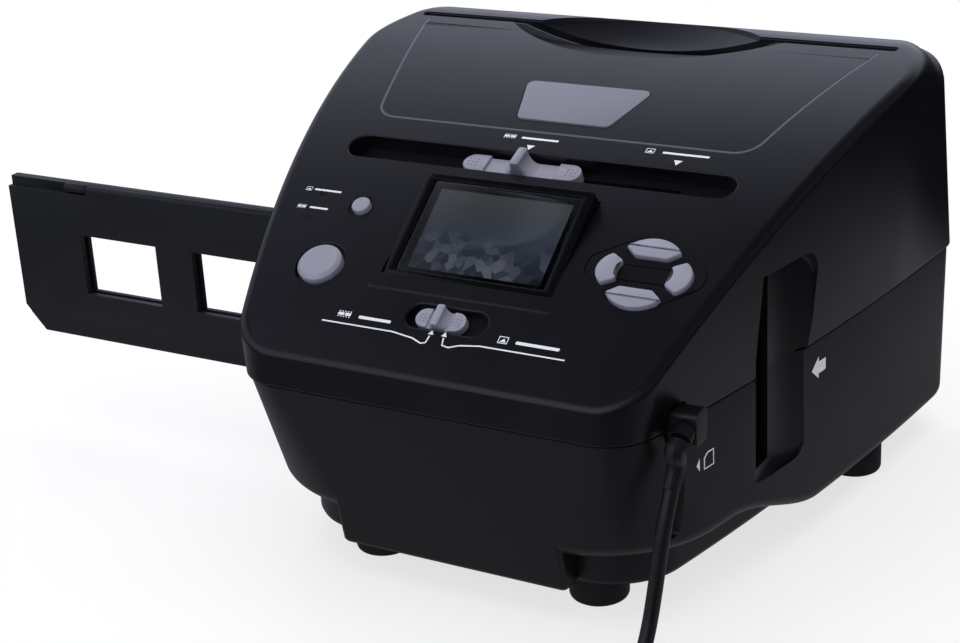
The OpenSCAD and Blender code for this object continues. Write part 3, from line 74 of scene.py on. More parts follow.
def make_camera():
    deselect()
    bpy.ops.object.camera_add()
    cam = bpy.context.object
    cam.name = "view_camera"
    a, e, roll = CAMERA_AZIMUTH, CAMERA_ELEVATION, CAMERA_ROLL
    back = Vector((math.sin(a) * math.cos(e), -math.cos(a) * math.cos(e), math.sin(e)))
    right = (-back).cross(Vector((0, 0, 1))).normalized()
    up = right.cross(-back)
    right_rolled = right * math.cos(roll) + up * math.sin(roll)
    up_rolled = up * math.cos(roll) - right * math.sin(roll)
    turn = Matrix((right_rolled, up_rolled, back)).transposed().to_4x4()
    cam.matrix_world = Matrix.Translation(at(*CAMERA_PLACE)) @ turn
    cam.data.sensor_width = SENSOR
    cam.data.lens = FOCAL_PIXELS / PICTURE_WIDTH * SENSOR
    cam.data.clip_start = 0.05
    cam.data.clip_end = 30
    bpy.context.scene.camera = cam


make_camera()

# ---- Nodes and colours ----


def linear(hex_colour):
    """An sRGB hex colour as linear RGBA."""
    parts = [int(hex_colour[i:i + 2], 16) / 255 for i in (1, 3, 5)]
    return [c / 12.92 if c <= 0.04045 else ((c + 0.055) / 1.055) ** 2.4 for c in parts] + [1.0]


def add(tree, kind, inputs=None, **settings):
    """Adds a node, with its settings, and its inputs as values or links."""
    node = tree.nodes.new("ShaderNode" + kind)
    for key, value in settings.items():
        setattr(node, key, value)
    for key, value in (inputs or {}).items():
        if isinstance(value, bpy.types.NodeSocket):
            tree.links.new(value, node.inputs[key])
        else:
            node.inputs[key].default_value = value
    return node


def blank(name):
    """An empty node material and its tree."""
    material = bpy.data.materials.new(name)
    material.use_nodes = True
    material.node_tree.nodes.clear()
    return material, material.node_tree


def moulded(name, colour, rough, grain_mm=0.35, grain_height=0.01, rough_swing=0.05, tone_swing=0.12,
            specular=0.5, ior=1.5, metallic=0.0, coat=0.0, coat_rough=0.1):
    """A moulded or coated surface: fine grain in the relief, faint clouding in tone and gloss."""
    material, tree = blank(name)
    place = add(tree, "TexCoord").outputs["Object"]
    grain = add(tree, "TexNoise", {"Vector": place, "Scale": 1 / (grain_mm * MM), "Detail": 2.0})
    cloud = add(tree, "TexNoise", {"Vector": place, "Scale": 1 / (26 * MM), "Detail": 3.0})
    tone = add(tree, "Mix", {
        "Factor": cloud.outputs["Fac"]}, data_type="RGBA")
    tone.inputs[6].default_value = [c * (1 - tone_swing) for c in linear(colour)[:3]] + [1]
    tone.inputs[7].default_value = [c * (1 + tone_swing) for c in linear(colour)[:3]] + [1]
    gloss = add(tree, "MapRange", {
        "Value": cloud.outputs["Fac"], "To Min": rough - rough_swing, "To Max": rough + rough_swing})
    relief = add(tree, "Bump", {
        "Height": grain.outputs["Fac"], "Strength": 0.6, "Distance": grain_height * MM})
    shader = add(tree, "BsdfPrincipled", {
        "Base Color": tone.outputs[2], "Roughness": gloss.outputs["Result"],
        "Normal": relief.outputs["Normal"], "Metallic": metallic, "IOR": ior,
        "Specular IOR Level": specular, "Coat Weight": coat, "Coat Roughness": coat_rough})
    add(tree, "OutputMaterial", {"Surface": shader.outputs["BSDF"]})
    return material


# ---- Finishes ----

# Moulded ABS with a fine spark-eroded texture: soft sheen, never a mirror
lid_abs = moulded("moulded_abs_lid", "#0c0c10", 0.30, 0.3, 0.003, specular=0.5)
base_abs = moulded("moulded_abs_base", "#0a0b0d", 0.36, 0.3, 0.003, specular=0.42)
# Polished styrene front of the display: near black, sharp reflections
gloss_styrene = moulded("polished_styrene_bezel", "#08080a", 0.10, 2.0, 0.0006, 0.02, specular=0.5)
# Lilac-silver lacquer over ABS: fine metal flake
silver_lacquer = moulded("silver_lacquered_abs", "#9a99a8", 0.36, 0.12, 0.002, 0.03, 0.05, metallic=0.3)
# Satin anodised badge
badge_metal = moulded("satin_anodised_badge", "#82828e", 0.42, 0.10, 0.002, 0.03, 0.04, metallic=0.35)
# Holder of spark-textured polystyrene: a duller, coarser black than the shells
holder_styrene = moulded("textured_styrene_holder", "#15161a", 0.5, 0.7, 0.02, specular=0.4)
# Inner frames of black polystyrene: matt, so that the slots look deep
inner_styrene = moulded("moulded_styrene_inner", "#1a1b1e", 0.55, 0.5, 0.01)
# Print plate of polystyrene, darkened to mid grey as painted shade of the deep slot: only its upper edge
# catches light in the slot
painted_shade_styrene = moulded("moulded_grey_styrene", "#4c4e54", 0.5, 0.5, 0.006, tone_swing=0.05)
# Moulded rubber of the feet: the dullest black
foot_rubber = moulded("moulded_rubber_feet", "#101012", 0.62, 0.5, 0.01, specular=0.35)
# Extruded PVC of the lead, and its moulded plugs: a soft oily sheen along the lead
cord_pvc = moulded("extruded_pvc_cord", "#0f0f11", 0.40, 0.6, 0.006, specular=0.5)
# Nylon tie of the coil: slightly waxy
tie_nylon = moulded("moulded_nylon_tie", "#141416", 0.45, 0.4, 0.004)
# Opal acrylic of the light: milky white, without grain
opal_acrylic = moulded("opal_acrylic_diffuser", "#eef0f2", 0.35, 0.5, 0.002, tone_swing=0.03)
# Pad-printed ink of the marks: flat white
print_white = moulded("white_pad_print", "#dcdce2", 0.55, 0.2, 0.002, tone_swing=0.04)
# Smoked light pipes, dark until they are lit
smoked_acrylic = moulded("smoked_acrylic_light_pipe", "#101014", 0.2, 0.5, 0.001, specular=0.4)
# Painted highlight on the edge of the lid's outline and of the film mouth: a lighter satin grey in place of
# the light that the edge catches
painted_highlight_abs = moulded("painted_highlight_abs_edge", "#4a4a54", 0.34, 0.3, 0.002, tone_swing=0.06)
# Solder mask over glass-fibre boards: green, near black, and white under the lamps
green_laminate = moulded("green_solder_mask_board", "#14502c", 0.38, 0.8, 0.01)
dark_laminate = moulded("dark_solder_mask_board", "#10221a", 0.40, 0.8, 0.01)
led_laminate = moulded("white_solder_mask_board", "#e2e4e0", 0.42, 0.8, 0.01, tone_swing=0.04)
# Epoxy of chips and switches: matt charcoal
chip_epoxy = moulded("moulded_epoxy_chips", "#17181a", 0.48, 0.3, 0.006)
# Zinc-plated screws, ground rods and nickel-plated shells: bright metal, from dull to clear
plated_steel = moulded("zinc_plated_steel_screws", "#a9acb2", 0.34, 0.3, 0.004, metallic=1.0)
ground_steel = moulded("ground_steel_rods", "#b6babf", 0.22, 0.2, 0.002, metallic=1.0)
nickel_plate = moulded("nickel_plated_shells", "#c2bfb6", 0.26, 0.4, 0.003, metallic=1.0)


def clear_pane(name, tint, rough=0.03):
    """A transparent moulded pane with a faint cast tint."""
    material, tree = blank(name)
    place = add(tree, "TexCoord").outputs["Object"]
    wave = add(tree, "TexNoise", {"Vector": place, "Scale": 1 / (9 * MM), "Detail": 1.0})
    gloss = add(tree, "MapRange", {
        "Value": wave.outputs["Fac"], "To Min": rough, "To Max": rough * 1.6})
    shader = add(tree, "BsdfPrincipled", {
        "Base Color": linear(tint), "Roughness": gloss.outputs["Result"], "IOR": 1.49,
        "Transmission Weight": 1.0})
    add(tree, "OutputMaterial", {"Surface": shader.outputs["BSDF"]})
    return material


# Cast acrylic over the display: clear, with one soft reflection; coated crown glass of the lens: faintly blue
screen_acrylic = clear_pane("cast_acrylic_window", "#d5d8de")
lens_crown = clear_pane("coated_crown_glass", "#cfd6ea", 0.01)


def lcd_picture(name):
    """The lit picture: a hazy sky over a band of hills and a patchwork of fields and roofs."""
    material, tree = blank(name)
    place = add(tree, "TexCoord").outputs["Object"]
    flat = add(tree, "Mapping", {
        "Vector": place, "Location": at(0, -37.5, 116.3), "Rotation": (math.radians(36), 0, 0)},
        vector_type="TEXTURE").outputs["Vector"]
    split = add(tree, "SeparateXYZ", {"Vector": flat})
    wave = add(tree, "TexNoise", {"Vector": flat, "Scale": 1 / (11 * MM), "Detail": 3.0})
    roofs = add(tree, "TexVoronoi", {"Vector": flat, "Scale": 1 / (3.4 * MM)}, feature="F1")
    roof_tone = add(tree, "SeparateColor", {"Color": roofs.outputs["Color"]}).outputs["Red"]
    lift = add(tree, "Math", {0: wave.outputs["Fac"], 1: 9 * MM}, operation="MULTIPLY")
    height = add(tree, "Math", {
        0: split.outputs["Y"], 1: lift.outputs[0]}, operation="ADD").outputs[0]
    ground = add(tree, "ValToRGB", {"Fac": roof_tone})
    for element, tone in zip(ground.color_ramp.elements, ("#20242c", "#787c84")):
        element.color = linear(tone)
    middle = ground.color_ramp.elements.new(0.55)
    middle.color = linear("#3f4652")
    haze = add(tree, "MapRange", {"Value": height, "From Min": -8 * MM, "From Max": 7 * MM})
    sky = add(tree, "ValToRGB", {"Fac": add(tree, "MapRange", {
        "Value": height, "From Min": 2 * MM, "From Max": 17 * MM}).outputs["Result"]})
    for element, tone in zip(sky.color_ramp.elements, ("#454d5c", "#55585a")):
        element.color = linear(tone)
    picture = add(tree, "Mix", {"Factor": haze.outputs["Result"]}, data_type="RGBA")
    tree.links.new(ground.outputs["Color"], picture.inputs[6])
    tree.links.new(sky.outputs["Color"], picture.inputs[7])
    shader = add(tree, "BsdfPrincipled", {
        "Base Color": linear("#060608"), "Roughness": 0.4, "Emission Color": picture.outputs[2],
        "Emission Strength": 0.65})
    add(tree, "OutputMaterial", {"Surface": shader.outputs["BSDF"]})
    return material


# Lit liquid-crystal display: a dim, bluish picture behind the window
lcd = lcd_picture("lit_lcd_picture")

# The CAD nodes that take each finish
NODE_FINISHES = [
    (base_abs, "lower_housing"),
    (lid_abs, "upper_housing"),
    (foot_rubber, "feet"),
    (plated_steel, "foot_screws housing_screws board_screws"),
    (gloss_styrene, "screen_bezel"),
    (screen_acrylic, "screen_window"),
    (lcd, "display_module"),
    (silver_lacquer, "scan_button power_button mode_button enter_button left_button right_button "
     "light_slider_knob focus_slider_knob"),
    (dark_laminate, "scan_board key_board"),
    (chip_epoxy, "scan_switches key_switches image_sensor main_chips"),
    (smoked_acrylic, "status_lights"),
    (badge_metal, "name_plate"),
    (inner_styrene, "light_carriage focus_cam lens_carriage lens_barrel camera_bracket film_channel "
     "print_guides light_tunnel"),
    (opal_acrylic, "light_diffuser"),
    (led_laminate, "light_board print_lights"),
    (ground_steel, "light_rods lens_rods holder_hinge_pin"),
    (lens_crown, "lens_glass"),
    (green_laminate, "sensor_board main_board io_board"),
    (painted_shade_styrene, "print_backplate"),
    (nickel_plate, "usb_socket card_socket usb_plug_shell computer_plug_shell"),
    (holder_styrene, "holder_base holder_cover"),
    (cord_pvc, "usb_plug usb_boot usb_cord usb_cord_coil computer_plug"),
    (tie_nylon, "cord_tie"),
]
for material, names in NODE_FINISHES:
    for name in names.split():
        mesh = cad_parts[name].data
        mesh.materials.clear()
        mesh.materials.append(material)

# ---- Cord: one lead from the plug in the side wall, down to the floor, round a coil ----

CORD_DIAMETER = 4.8
COIL_CENTRE = (108.0, -128.0)
COIL_RADIUS = 26.0
COIL_FLOOR = 0.9
TURNS = 6.25
TURN_POINTS = 16
# A turn of the coil starts to shift over to the next after this share of its way
SHIFT_START = 0.66
NEAR_RUN = [
    (79, -73, 57), (78.5, -76, 50), (77.7, -78.5, 40), (76.8, -80, 30), (75.8, -81.5, 20),
    (75.2, -84, 12), (75, -88, 6.5), (75.4, -93, 3.6), (76.6, -99, 2.9), (78.4, -107, 2.9), (79.5, -116, 3.3)]
FAR_RUN = [(120, -156.5, 12.9), (131, -156, 9), (140, -151, 6), (145.5, -143, 4), (147, -134, 4)]


def cord_route():
    """Points of the whole lead in body millimetres."""
    d = CORD_DIAMETER
    inner, outer = COIL_RADIUS - d / 2, COIL_RADIUS + d / 2
    points = list(NEAR_RUN)
    # Two turns on each of three layers; the lead comes in on the outside at the left
    stops = [(outer, 0), (inner, 0), (inner, 1), (outer, 1), (outer, 2), (inner, 2)]
    steps = round(TURNS * TURN_POINTS)
    for i in range(1, steps + 1):
        t = TURNS * i / steps
        place = min(t, 5.999)
        k = int(place)
        share = place - k
        shift = max(0.0, (share - SHIFT_START) / (1 - SHIFT_START))
        shift = shift * shift * (3 - 2 * shift)
        r0, l0 = stops[k]
        r1, l1 = stops[min(k + 1, 5)]
        if k == 5:
            r1, l1 = outer, 2
        r = r0 + (r1 - r0) * shift
        layer = l0 + (l1 - l0) * shift
        a = math.pi + 2 * math.pi * t
        points.append((COIL_CENTRE[0] + r * math.cos(a), COIL_CENTRE[1] + r * math.sin(a),
                       COIL_FLOOR + d / 2 + layer * d))
    return points + FAR_RUN


def make_cord():
    route = cord_route()
    data = bpy.data.curves.new("usb_lead", "CURVE")
    data.dimensions = "3D"
    spline = data.splines.new("NURBS")
    spline.points.add(len(route) - 1)
    for p, xyz in zip(spline.points, route):
        p.co = (*at(*xyz), 1)
    spline.order_u = 4
    spline.use_endpoint_u = True
    spline.resolution_u = 4
    data.bevel_depth = CORD_DIAMETER / 2 * MM
    data.bevel_resolution = 4
    data.use_fill_caps = True
    data.materials.append(cord_pvc)
    ob = bpy.data.objects.new("usb_lead", data)
    bpy.context.scene.collection.objects.link(ob)
    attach(ob, "scanner")
    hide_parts("usb_cord", "usb_cord_coil")


make_cord()

# ---- The body's form, repeated from the part's own sizes, in millimetres ----

BODY_WIDTH, FRONT_WIDTH = 212.0, 140.0
FRONT_Y, REAR_Y = -86.0, 128.0
SIDE_BOW = 1180.0
FRONT_CORNER, REAR_CORNER = 17.0, 11.0
WALL = 2.4
SEAM_Z = 73.0
PANEL_FRONT_Z = 83.5
TOP_BOW = 359.0
SHOULDER_Y, SHOULDER_Z = 86.0, 154.0
SIDE_FILLET, TURNED_FILLET, FRONT_FILLET, REAR_FILLET = 3.5, 16.0, 3.5, 3.0
SIDE_DRAFT, TURNED_DRAFT, FRONT_DRAFT, REAR_DRAFT = -0.09, 0.04, 0.15, 0.05
REAR_CORNER_RISE = 0.12
BELLY_Z, FRONT_BELLY_Z, BELLY_FILLET = 12.0, 26.0, 6.0
BELLY_TAPER, FRONT_TAPER = -0.01, 0.2
CORNER_GROWTH, REAR_CORNER_GROWTH = 0.6, 0.07
# Length over which the side turns flatter towards the rear
TURN_LENGTH = 61.0
# The belly runs level at the front, then ramps up
BELLY_LEVEL, BELLY_RAMP = 26.0, 55.0
LIP = 0.8
BLOCK_WIDTH = 84.0

BOW_HALF = (BODY_WIDTH - FRONT_WIDTH) / 2
CHORD = math.hypot(BOW_HALF, REAR_Y - FRONT_Y)
BOW_DEPTH = math.sqrt(SIDE_BOW ** 2 - CHORD ** 2 / 4)
BOW_X = (FRONT_WIDTH + BODY_WIDTH) / 4 - (REAR_Y - FRONT_Y) / CHORD * BOW_DEPTH
BOW_Y = (FRONT_Y + REAR_Y) / 2 + BOW_HALF / CHORD * BOW_DEPTH

TOP_CHORD = math.hypot(SHOULDER_Y - FRONT_Y, SHOULDER_Z - PANEL_FRONT_Z)
TOP_DEPTH = math.sqrt(TOP_BOW ** 2 - TOP_CHORD ** 2 / 4)
TOP_BOW_Y = (FRONT_Y + SHOULDER_Y) / 2 + (SHOULDER_Z - PANEL_FRONT_Z) / TOP_CHORD * TOP_DEPTH
TOP_BOW_Z = (PANEL_FRONT_Z + SHOULDER_Z) / 2 - (SHOULDER_Y - FRONT_Y) / TOP_CHORD * TOP_DEPTH
SHOULDER_SLOPE = math.asin((TOP_BOW_Y - SHOULDER_Y) / TOP_BOW)
SHOULDER_R = (REAR_Y - SHOULDER_Y) / (1 + math.sin(SHOULDER_SLOPE))
SHOULDER_CY = SHOULDER_Y + SHOULDER_R * math.sin(SHOULDER_SLOPE)
SHOULDER_CZ = SHOULDER_Z - SHOULDER_R * math.cos(SHOULDER_SLOPE)

# Stations run round half of an outline: a front corner, the side, a rear corner
CORNER, SIDE = 6, 22
LAST = 2 * CORNER + SIDE
FINE = 5
STATIONS = [i / FINE for i in range(LAST * FINE + 1)]


def plan_point(k, side_in, front_in, rear_in, rf, rr):
    r = SIDE_BOW - side_in
    yf = FRONT_Y + front_in + rf
    xf = BOW_X + math.sqrt((r - rf) ** 2 - (yf - BOW_Y) ** 2)
    af = math.atan2(yf - BOW_Y, xf - BOW_X)
    yr = REAR_Y - rear_in - rr
    xr = BOW_X + math.sqrt((r - rr) ** 2 - (yr - BOW_Y) ** 2)
    ar = math.atan2(yr - BOW_Y, xr - BOW_X)
    if k <= CORNER:
        a = -math.pi / 2 + (math.pi / 2 + af) * k / CORNER
        return xf + rf * math.cos(a), yf + rf * math.sin(a)
    if k >= CORNER + SIDE:
        a = ar + (math.pi / 2 - ar) * (k - CORNER - SIDE) / CORNER
        return xr + rr * math.cos(a), yr + rr * math.sin(a)
    y0, y1 = yf + rf * math.sin(af), yr + rr * math.sin(ar)
    y = y0 + (y1 - y0) * (1 - (1 - (k - CORNER) / SIDE) ** 1.5)
    return BOW_X + math.sqrt(r * r - (y - BOW_Y) ** 2), y


def front_part(k):
    return 0 if k >= CORNER else math.cos(math.pi / 2 * k / CORNER) ** 2


def rear_part(k):
    return front_part(LAST - k)


def top_z(y, depth=0.0):
    if y < SHOULDER_Y:
        return TOP_BOW_Z + math.sqrt((TOP_BOW - depth) ** 2 - (y - TOP_BOW_Y) ** 2)
    return SHOULDER_CZ + math.sqrt(max(0, (SHOULDER_R - depth) ** 2 - (y - SHOULDER_CY) ** 2))


def top_slope(y):
    return math.asin((TOP_BOW_Y - y) / TOP_BOW)


def mirrored(half):
    return half + [(-x, y, z) for x, y, z in reversed(half)]


def smooth(t):
    t = min(1, max(0, t))
    return t * t * (3 - 2 * t)


def outer_point(k):
    return plan_point(k, 0, 0, 0, FRONT_CORNER, REAR_CORNER)


def blend(k, side, turned, front, rear):
    f, b = front_part(k), rear_part(k)
    share = smooth((outer_point(k)[1] - REAR_Y + TURN_LENGTH) / TURN_LENGTH)
    return (side + (turned - side) * share) * (1 - f - b) + front * f + rear * b


def upper_ring(share, depth):
    """Ring of the upper skin, share 0 to 1 up its fillet."""
    half = []
    for k in STATIONS:
        r0 = blend(k, SIDE_FILLET, TURNED_FILLET, FRONT_FILLET, REAR_FILLET)
        r = max(0.5, r0 - depth)
        height = max(0, top_z(outer_point(k)[1]) - r0 - SEAM_Z)
        drawn = blend(k, SIDE_DRAFT, TURNED_DRAFT, FRONT_DRAFT, REAR_DRAFT) * height
        corner = REAR_CORNER + REAR_CORNER_RISE * height
        sweep = math.pi / 2 - front_part(k) * top_slope(FRONT_Y)
        a = sweep * share
        inset = depth + drawn + r * (1 - math.cos(a))
        end = depth + drawn + r * (1 - math.cos(sweep))
        x, y = plan_point(k, inset, inset, inset, max(3, FRONT_CORNER - inset), max(2, corner - inset))
        yq = plan_point(k, end, end, end, max(3, FRONT_CORNER - end), max(2, corner - end))[1]
        half.append((x, y, max(SEAM_Z + 4, top_z(yq, depth)) - r * (math.sin(sweep) - math.sin(a))))
    return mirrored(half)


def seam_ring(depth, z):
    return mirrored([(*plan_point(k, depth, depth, depth, FRONT_CORNER - depth, REAR_CORNER - depth), z)
                     for k in STATIONS])


def belly_at(y):
    return FRONT_BELLY_Z + (BELLY_Z - FRONT_BELLY_Z) * smooth((y - FRONT_Y - BELLY_LEVEL) / BELLY_RAMP)


def lower_plan(k, z, inset):
    drop = SEAM_Z - z
    return plan_point(k, LIP + BELLY_TAPER * drop + inset, LIP + FRONT_TAPER * drop + inset,
                      LIP + BELLY_TAPER * drop + inset, max(3, FRONT_CORNER + CORNER_GROWTH * drop - inset),
                      max(3, REAR_CORNER + REAR_CORNER_GROWTH * drop - inset))


def lower_ring(share, depth):
    """Ring of the lower skin, share 0 to 1 up its bottom fillet."""
    half = []
    for k in STATIONS:
        y = outer_point(k)[1]
        r = BELLY_FILLET - depth
        a = math.pi / 2 * (1 - share)
        z = belly_at(y) + depth + r * (1 - math.sin(a))
        half.append((*lower_plan(k, z, depth + r * (1 - math.cos(a))), z))
    return mirrored(half)


def lower_head(depth, z):
    return mirrored([(*lower_plan(k, min(z, SEAM_Z), depth), z) for k in STATIONS])


# ---- Modelling ----

BODY = Matrix.Diagonal((MM, MM, MM, 1)) @ Matrix.Translation(BODY_ORIGIN)


def on_panel(x, y):
    """Local millimetres on the bowed panel: X right, Y up the slope, Z outwards."""
    return BODY @ Matrix.Translation((x, y, top_z(y))) @ Matrix.Rotation(top_slope(y), 4, "X")


def loft(name, rings, place=BODY, halves=False):
    """A closed solid drawn from ring to ring. With halves, its last end is closed by strips from side
    to side."""
    deselect()
    count = len(rings[0])
    bpy.ops.mesh.primitive_circle_add(vertices=count, radius=1)
    ob = bpy.context.object
    ob.name = ob.data.name = name
    bpy.ops.object.mode_set(mode="EDIT")
    mesh = bmesh.from_edit_mesh(ob.data)
    station = mesh.verts.layers.int.new("station")
    for i, v in enumerate(mesh.verts):
        v[station] = i
    for j, ring in enumerate(rings):
        if j:
            bpy.ops.mesh.extrude_region_move()
        mesh = bmesh.from_edit_mesh(ob.data)
        station = mesh.verts.layers.int["station"]
        for v in mesh.verts:
            if v.select:
                v.co = place @ Vector(ring[v[station]])
        bmesh.update_edit_mesh(ob.data)
    if halves:
        bpy.ops.mesh.select_mode(type="EDGE")
        mesh = bmesh.from_edit_mesh(ob.data)
        station = mesh.verts.layers.int["station"]
        middle = count // 2
        for e in mesh.edges:
            a, b = (v[station] for v in e.verts)
            e.select_set(e.select and (a < middle) == (b < middle) and abs(a - b) == 1)
        bmesh.update_edit_mesh(ob.data)
        bpy.ops.mesh.bridge_edge_loops()
    else:
        bpy.ops.mesh.edge_face_add()
    bpy.ops.mesh.select_mode(type="VERT")
    bpy.ops.mesh.select_all(action="DESELECT")
    bpy.ops.mesh.select_non_manifold()
    bpy.ops.mesh.edge_face_add()
    bpy.ops.mesh.select_all(action="SELECT")
    bpy.ops.mesh.normals_make_consistent(inside=False)
    bpy.ops.object.mode_set(mode="OBJECT")
    ob.data.attributes.remove(ob.data.attributes["station"])
    return ob


def arc(cx, cy, r, a0, a1, steps):
    """Points of an arc, angles in degrees."""
    return [(cx + r * math.cos(math.radians(a0 + (a1 - a0) * i / steps)),
             cy + r * math.sin(math.radians(a0 + (a1 - a0) * i / steps))) for i in range(steps + 1)]


def slot_outline(x0, x1, width, steps=16):
    """A slot with round ends, middle line from x0 to x1."""
    return arc(x1, 0, width / 2, -90, 90, steps) + arc(x0, 0, width / 2, 90, 270, steps)


def rounded(points, radius, steps=6):
    """A polygon, drawn anticlockwise, with its corners rounded; radius is one number or one for each
    corner."""
    out = []
    for i, p in enumerate(points):
        p, before, after = Vector(p), Vector(points[i - 1]), Vector(points[(i + 1) % len(points)])
        r = radius[i] if isinstance(radius, (list, tuple)) else radius
        if not r:
            out.append(tuple(p))
            continue
        u, w = (before - p).normalized(), (after - p).normalized()
        half = math.acos(max(-1, min(1, u.dot(w)))) / 2
        reach = r / math.tan(half)
        centre = p + (u + w).normalized() * (r / math.sin(half))
        start, end = p + u * reach - centre, p + w * reach - centre
        turn = start.angle_signed(end)
        for s in range(steps + 1):
            spin = Matrix.Rotation(-turn * s / steps, 2)
            out.append(tuple(centre + spin @ start))
    return out


def box_outline(w, h, r, steps=6):
    return rounded([(-w / 2, -h / 2), (w / 2, -h / 2), (w / 2, h / 2), (-w / 2, h / 2)], r, steps)


def grown(points, by):
    """An outline moved outwards by so many millimetres."""
    out = []
    for i, p in enumerate(points):
        a, b = Vector(p) - Vector(points[i - 1]), Vector(points[(i + 1) % len(points)]) - Vector(p)
        n = Vector((a.y, -a.x)).normalized() + Vector((b.y, -b.x)).normalized()
        n.normalize()
        out.append((p[0] + n.x * by, p[1] + n.y * by))
    return out


def slab(name, outline, levels, place):
    """A solid of one outline through (height, growth) levels."""
    return loft(name, [[(x, y, z) for x, y in grown(outline, g)] for z, g in levels], place)


def rim(radius, floor, top=3.0, steps=5):
    """Levels of a cutter whose mouth has a rounded rim of that radius."""
    curve = [(-radius * (1 - math.sin(a)), radius * (1 - math.cos(a)))
             for a in (math.pi / 2 * i / steps for i in range(steps + 1))]
    return [(floor, 0)] + curve + [(top, radius)]


def eased(radius, bottom, top, steps=4):
    """Levels of a cap whose upper edge is rounded."""
    return [(bottom, 0)] + [(top - radius * (1 - math.sin(math.pi / 2 * i / steps)),
                             -radius * (1 - math.cos(math.pi / 2 * i / steps))) for i in range(steps + 1)]


def cut(ob, *cutters, kind="DIFFERENCE"):
    """Cuts the cutters out of a piece, and removes them."""
    folder = bpy.data.collections.new("cutters")
    for c in cutters:
        folder.objects.link(c)
    pick(ob)
    change = ob.modifiers.new("cut", "BOOLEAN")
    change.operation, change.operand_type, change.solver = kind, "COLLECTION", "MANIFOLD"
    change.collection = folder
    bpy.ops.object.modifier_apply(modifier=change.name)
    for c in cutters:
        bpy.data.objects.remove(c)
    bpy.data.collections.remove(folder)
    return ob


def finish(ob, body, material, slot, *nodes, angle=30, weighted=False):
    """Shades a piece, gives it its finish, and says what it rides on and stands for."""
    pick(ob)
    bpy.ops.object.shade_smooth_by_angle(angle=math.radians(angle))
    if weighted:
        even = ob.modifiers.new("even", "WEIGHTED_NORMAL")
        even.keep_sharp = True
        bpy.ops.object.modifier_apply(modifier=even.name)
    ob.data.materials.clear()
    ob.data.materials.append(material)
    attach(ob, body)
    if nodes:
        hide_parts(*nodes)
    return ob


# ---- Housings ----


def block(name, x0, x1, y0, y1, z0, z1, place=BODY):
    return loft(name, [[(x0, y0, z), (x1, y0, z), (x1, y1, z), (x0, y1, z)] for z in (z0, z1)], place)


MOUTH_Y = (-20.3, -10.1)
MOUTH_Z = (40.3, 105.9)
RECESS_X = 84.6
RECESS_Y = (-22.4, 10.3)
RECESS_RAMP_Y = -8.0
RECESS_Z = (35.0, 108.0)
FAR = 140.0
PRINT_Y = 84.6
LIGHT_GROOVE_Y, LIGHT_GROOVE_HALF, LIGHT_GROOVE_W = -5.5, 66.5, 11.0
FOCUS_GROOVE_Y, FOCUS_GROOVE_HALF, FOCUS_GROOVE_W = -66.5, 10.0, 9.0
POD = BODY @ Matrix.Translation((0, -37.5, 116.3)) @ Matrix.Rotation(math.radians(36), 4, "X")
LEFT_GROUP, RIGHT_GROUP = on_panel(-57, -44), on_panel(57.3, -42.7)
SCAN_AT, POWER_AT = (2.6, -12.7), (5.5, 13.5)
LIGHTS_AT = [(-12.1, 17), (-11.9, 5.4)]
SCAN_R, POWER_R = 7.7, 3.3


def shifted(points, x, y):
    return [(px + x, py + y) for px, py in points]


def circle(r, steps=64):
    return [(r * math.cos(2 * math.pi * i / steps),
             r * math.sin(2 * math.pi * i / steps)) for i in range(steps)]


def recess(side, grow=0.0):
    """Cutter of the side recess: a flat floor, then a ramp that comes out to the wall, round at its
    far end."""
    rings = []
    y_end = RECESS_Y[1] + grow
    corner = 9.0
    for i in range(25):
        y = RECESS_Y[0] - grow + (y_end - RECESS_Y[0] + grow) * (1 - (1 - i / 24) ** 1.7)
        t = max(0.0, (y - RECESS_RAMP_Y) / (RECESS_Y[1] - RECESS_RAMP_Y))
        floor = RECESS_X - grow + 7.4 * t ** 2.2
        over = max(0.0, y - (y_end - corner))
        pull = corner - math.sqrt(max(0.0, corner ** 2 - over ** 2))
        z0, z1 = RECESS_Z[0] - grow + pull, RECESS_Z[1] + grow - pull
        soft = 1.5
        eased_x = floor + soft * 0.3
        ring = [(FAR, z0), (FAR, z1), (floor + soft, z1), (eased_x, z1 - soft * 0.3), (floor, z1 - soft),
                (floor, z0 + soft), (eased_x, z0 + soft * 0.3), (floor + soft, z0)]
        rings.append([(side * x, y, z) for x, z in ring])
    return loft("recess", rings)


def scoop(half, reach, way, grow=0.0):
    """Cutter of a finger scoop before (way -1) or behind (way 1) the print slot."""
    r = (half * half + reach * reach) / (2 * reach)
    low = top_z(PRINT_Y) - 8.0
    rise = 8.0 - (top_z(PRINT_Y) - top_z(PRINT_Y + way * reach))
    rings = []
    for h in [rise * (i / 20) ** 1.5 for i in range(21)] + [rise + 0.15, rise + 0.5, rise + 1.2, rise + 14]:
        out = reach * (h / rise) ** 0.8 - reach + grow if h <= rise else (h - rise) * 0.5 + grow
        flat = math.degrees(math.asin((-1.0 - grow - reach + r) / (r + out)))
        curve = arc(0, reach - r, r + out, flat, 180 - flat, 64)
        chord = [(curve[-1][0] * (1 - i / 8), -1.0 - grow) for i in range(1, 16)]
        rings.append([(x, PRINT_Y + way * y, low - grow + h) for x, y in curve + chord])
    return loft("scoop", rings)


KEY_ARC = arc(0, 2.05, 11.95, 38, 142, 24)
SIDE_ARC = arc(9.05, 0, 6.95, -62, 62, 20) + arc(3.87, 0, 5.33, 42, -42, 10)
UPPER_KEY = rounded(KEY_ARC[:1] + KEY_ARC[1:-1] + KEY_ARC[-1:] + [(-5.5, 6.3), (5.5, 6.3)],
                    [0.9] + [0] * (len(KEY_ARC) - 2) + [0.9, 1.1, 1.1], 4)
SIDE_KEY = rounded(SIDE_ARC, [0.9] + [0] * 19 + [0.9, 1.0] + [0] * 9 + [1.0], 4)


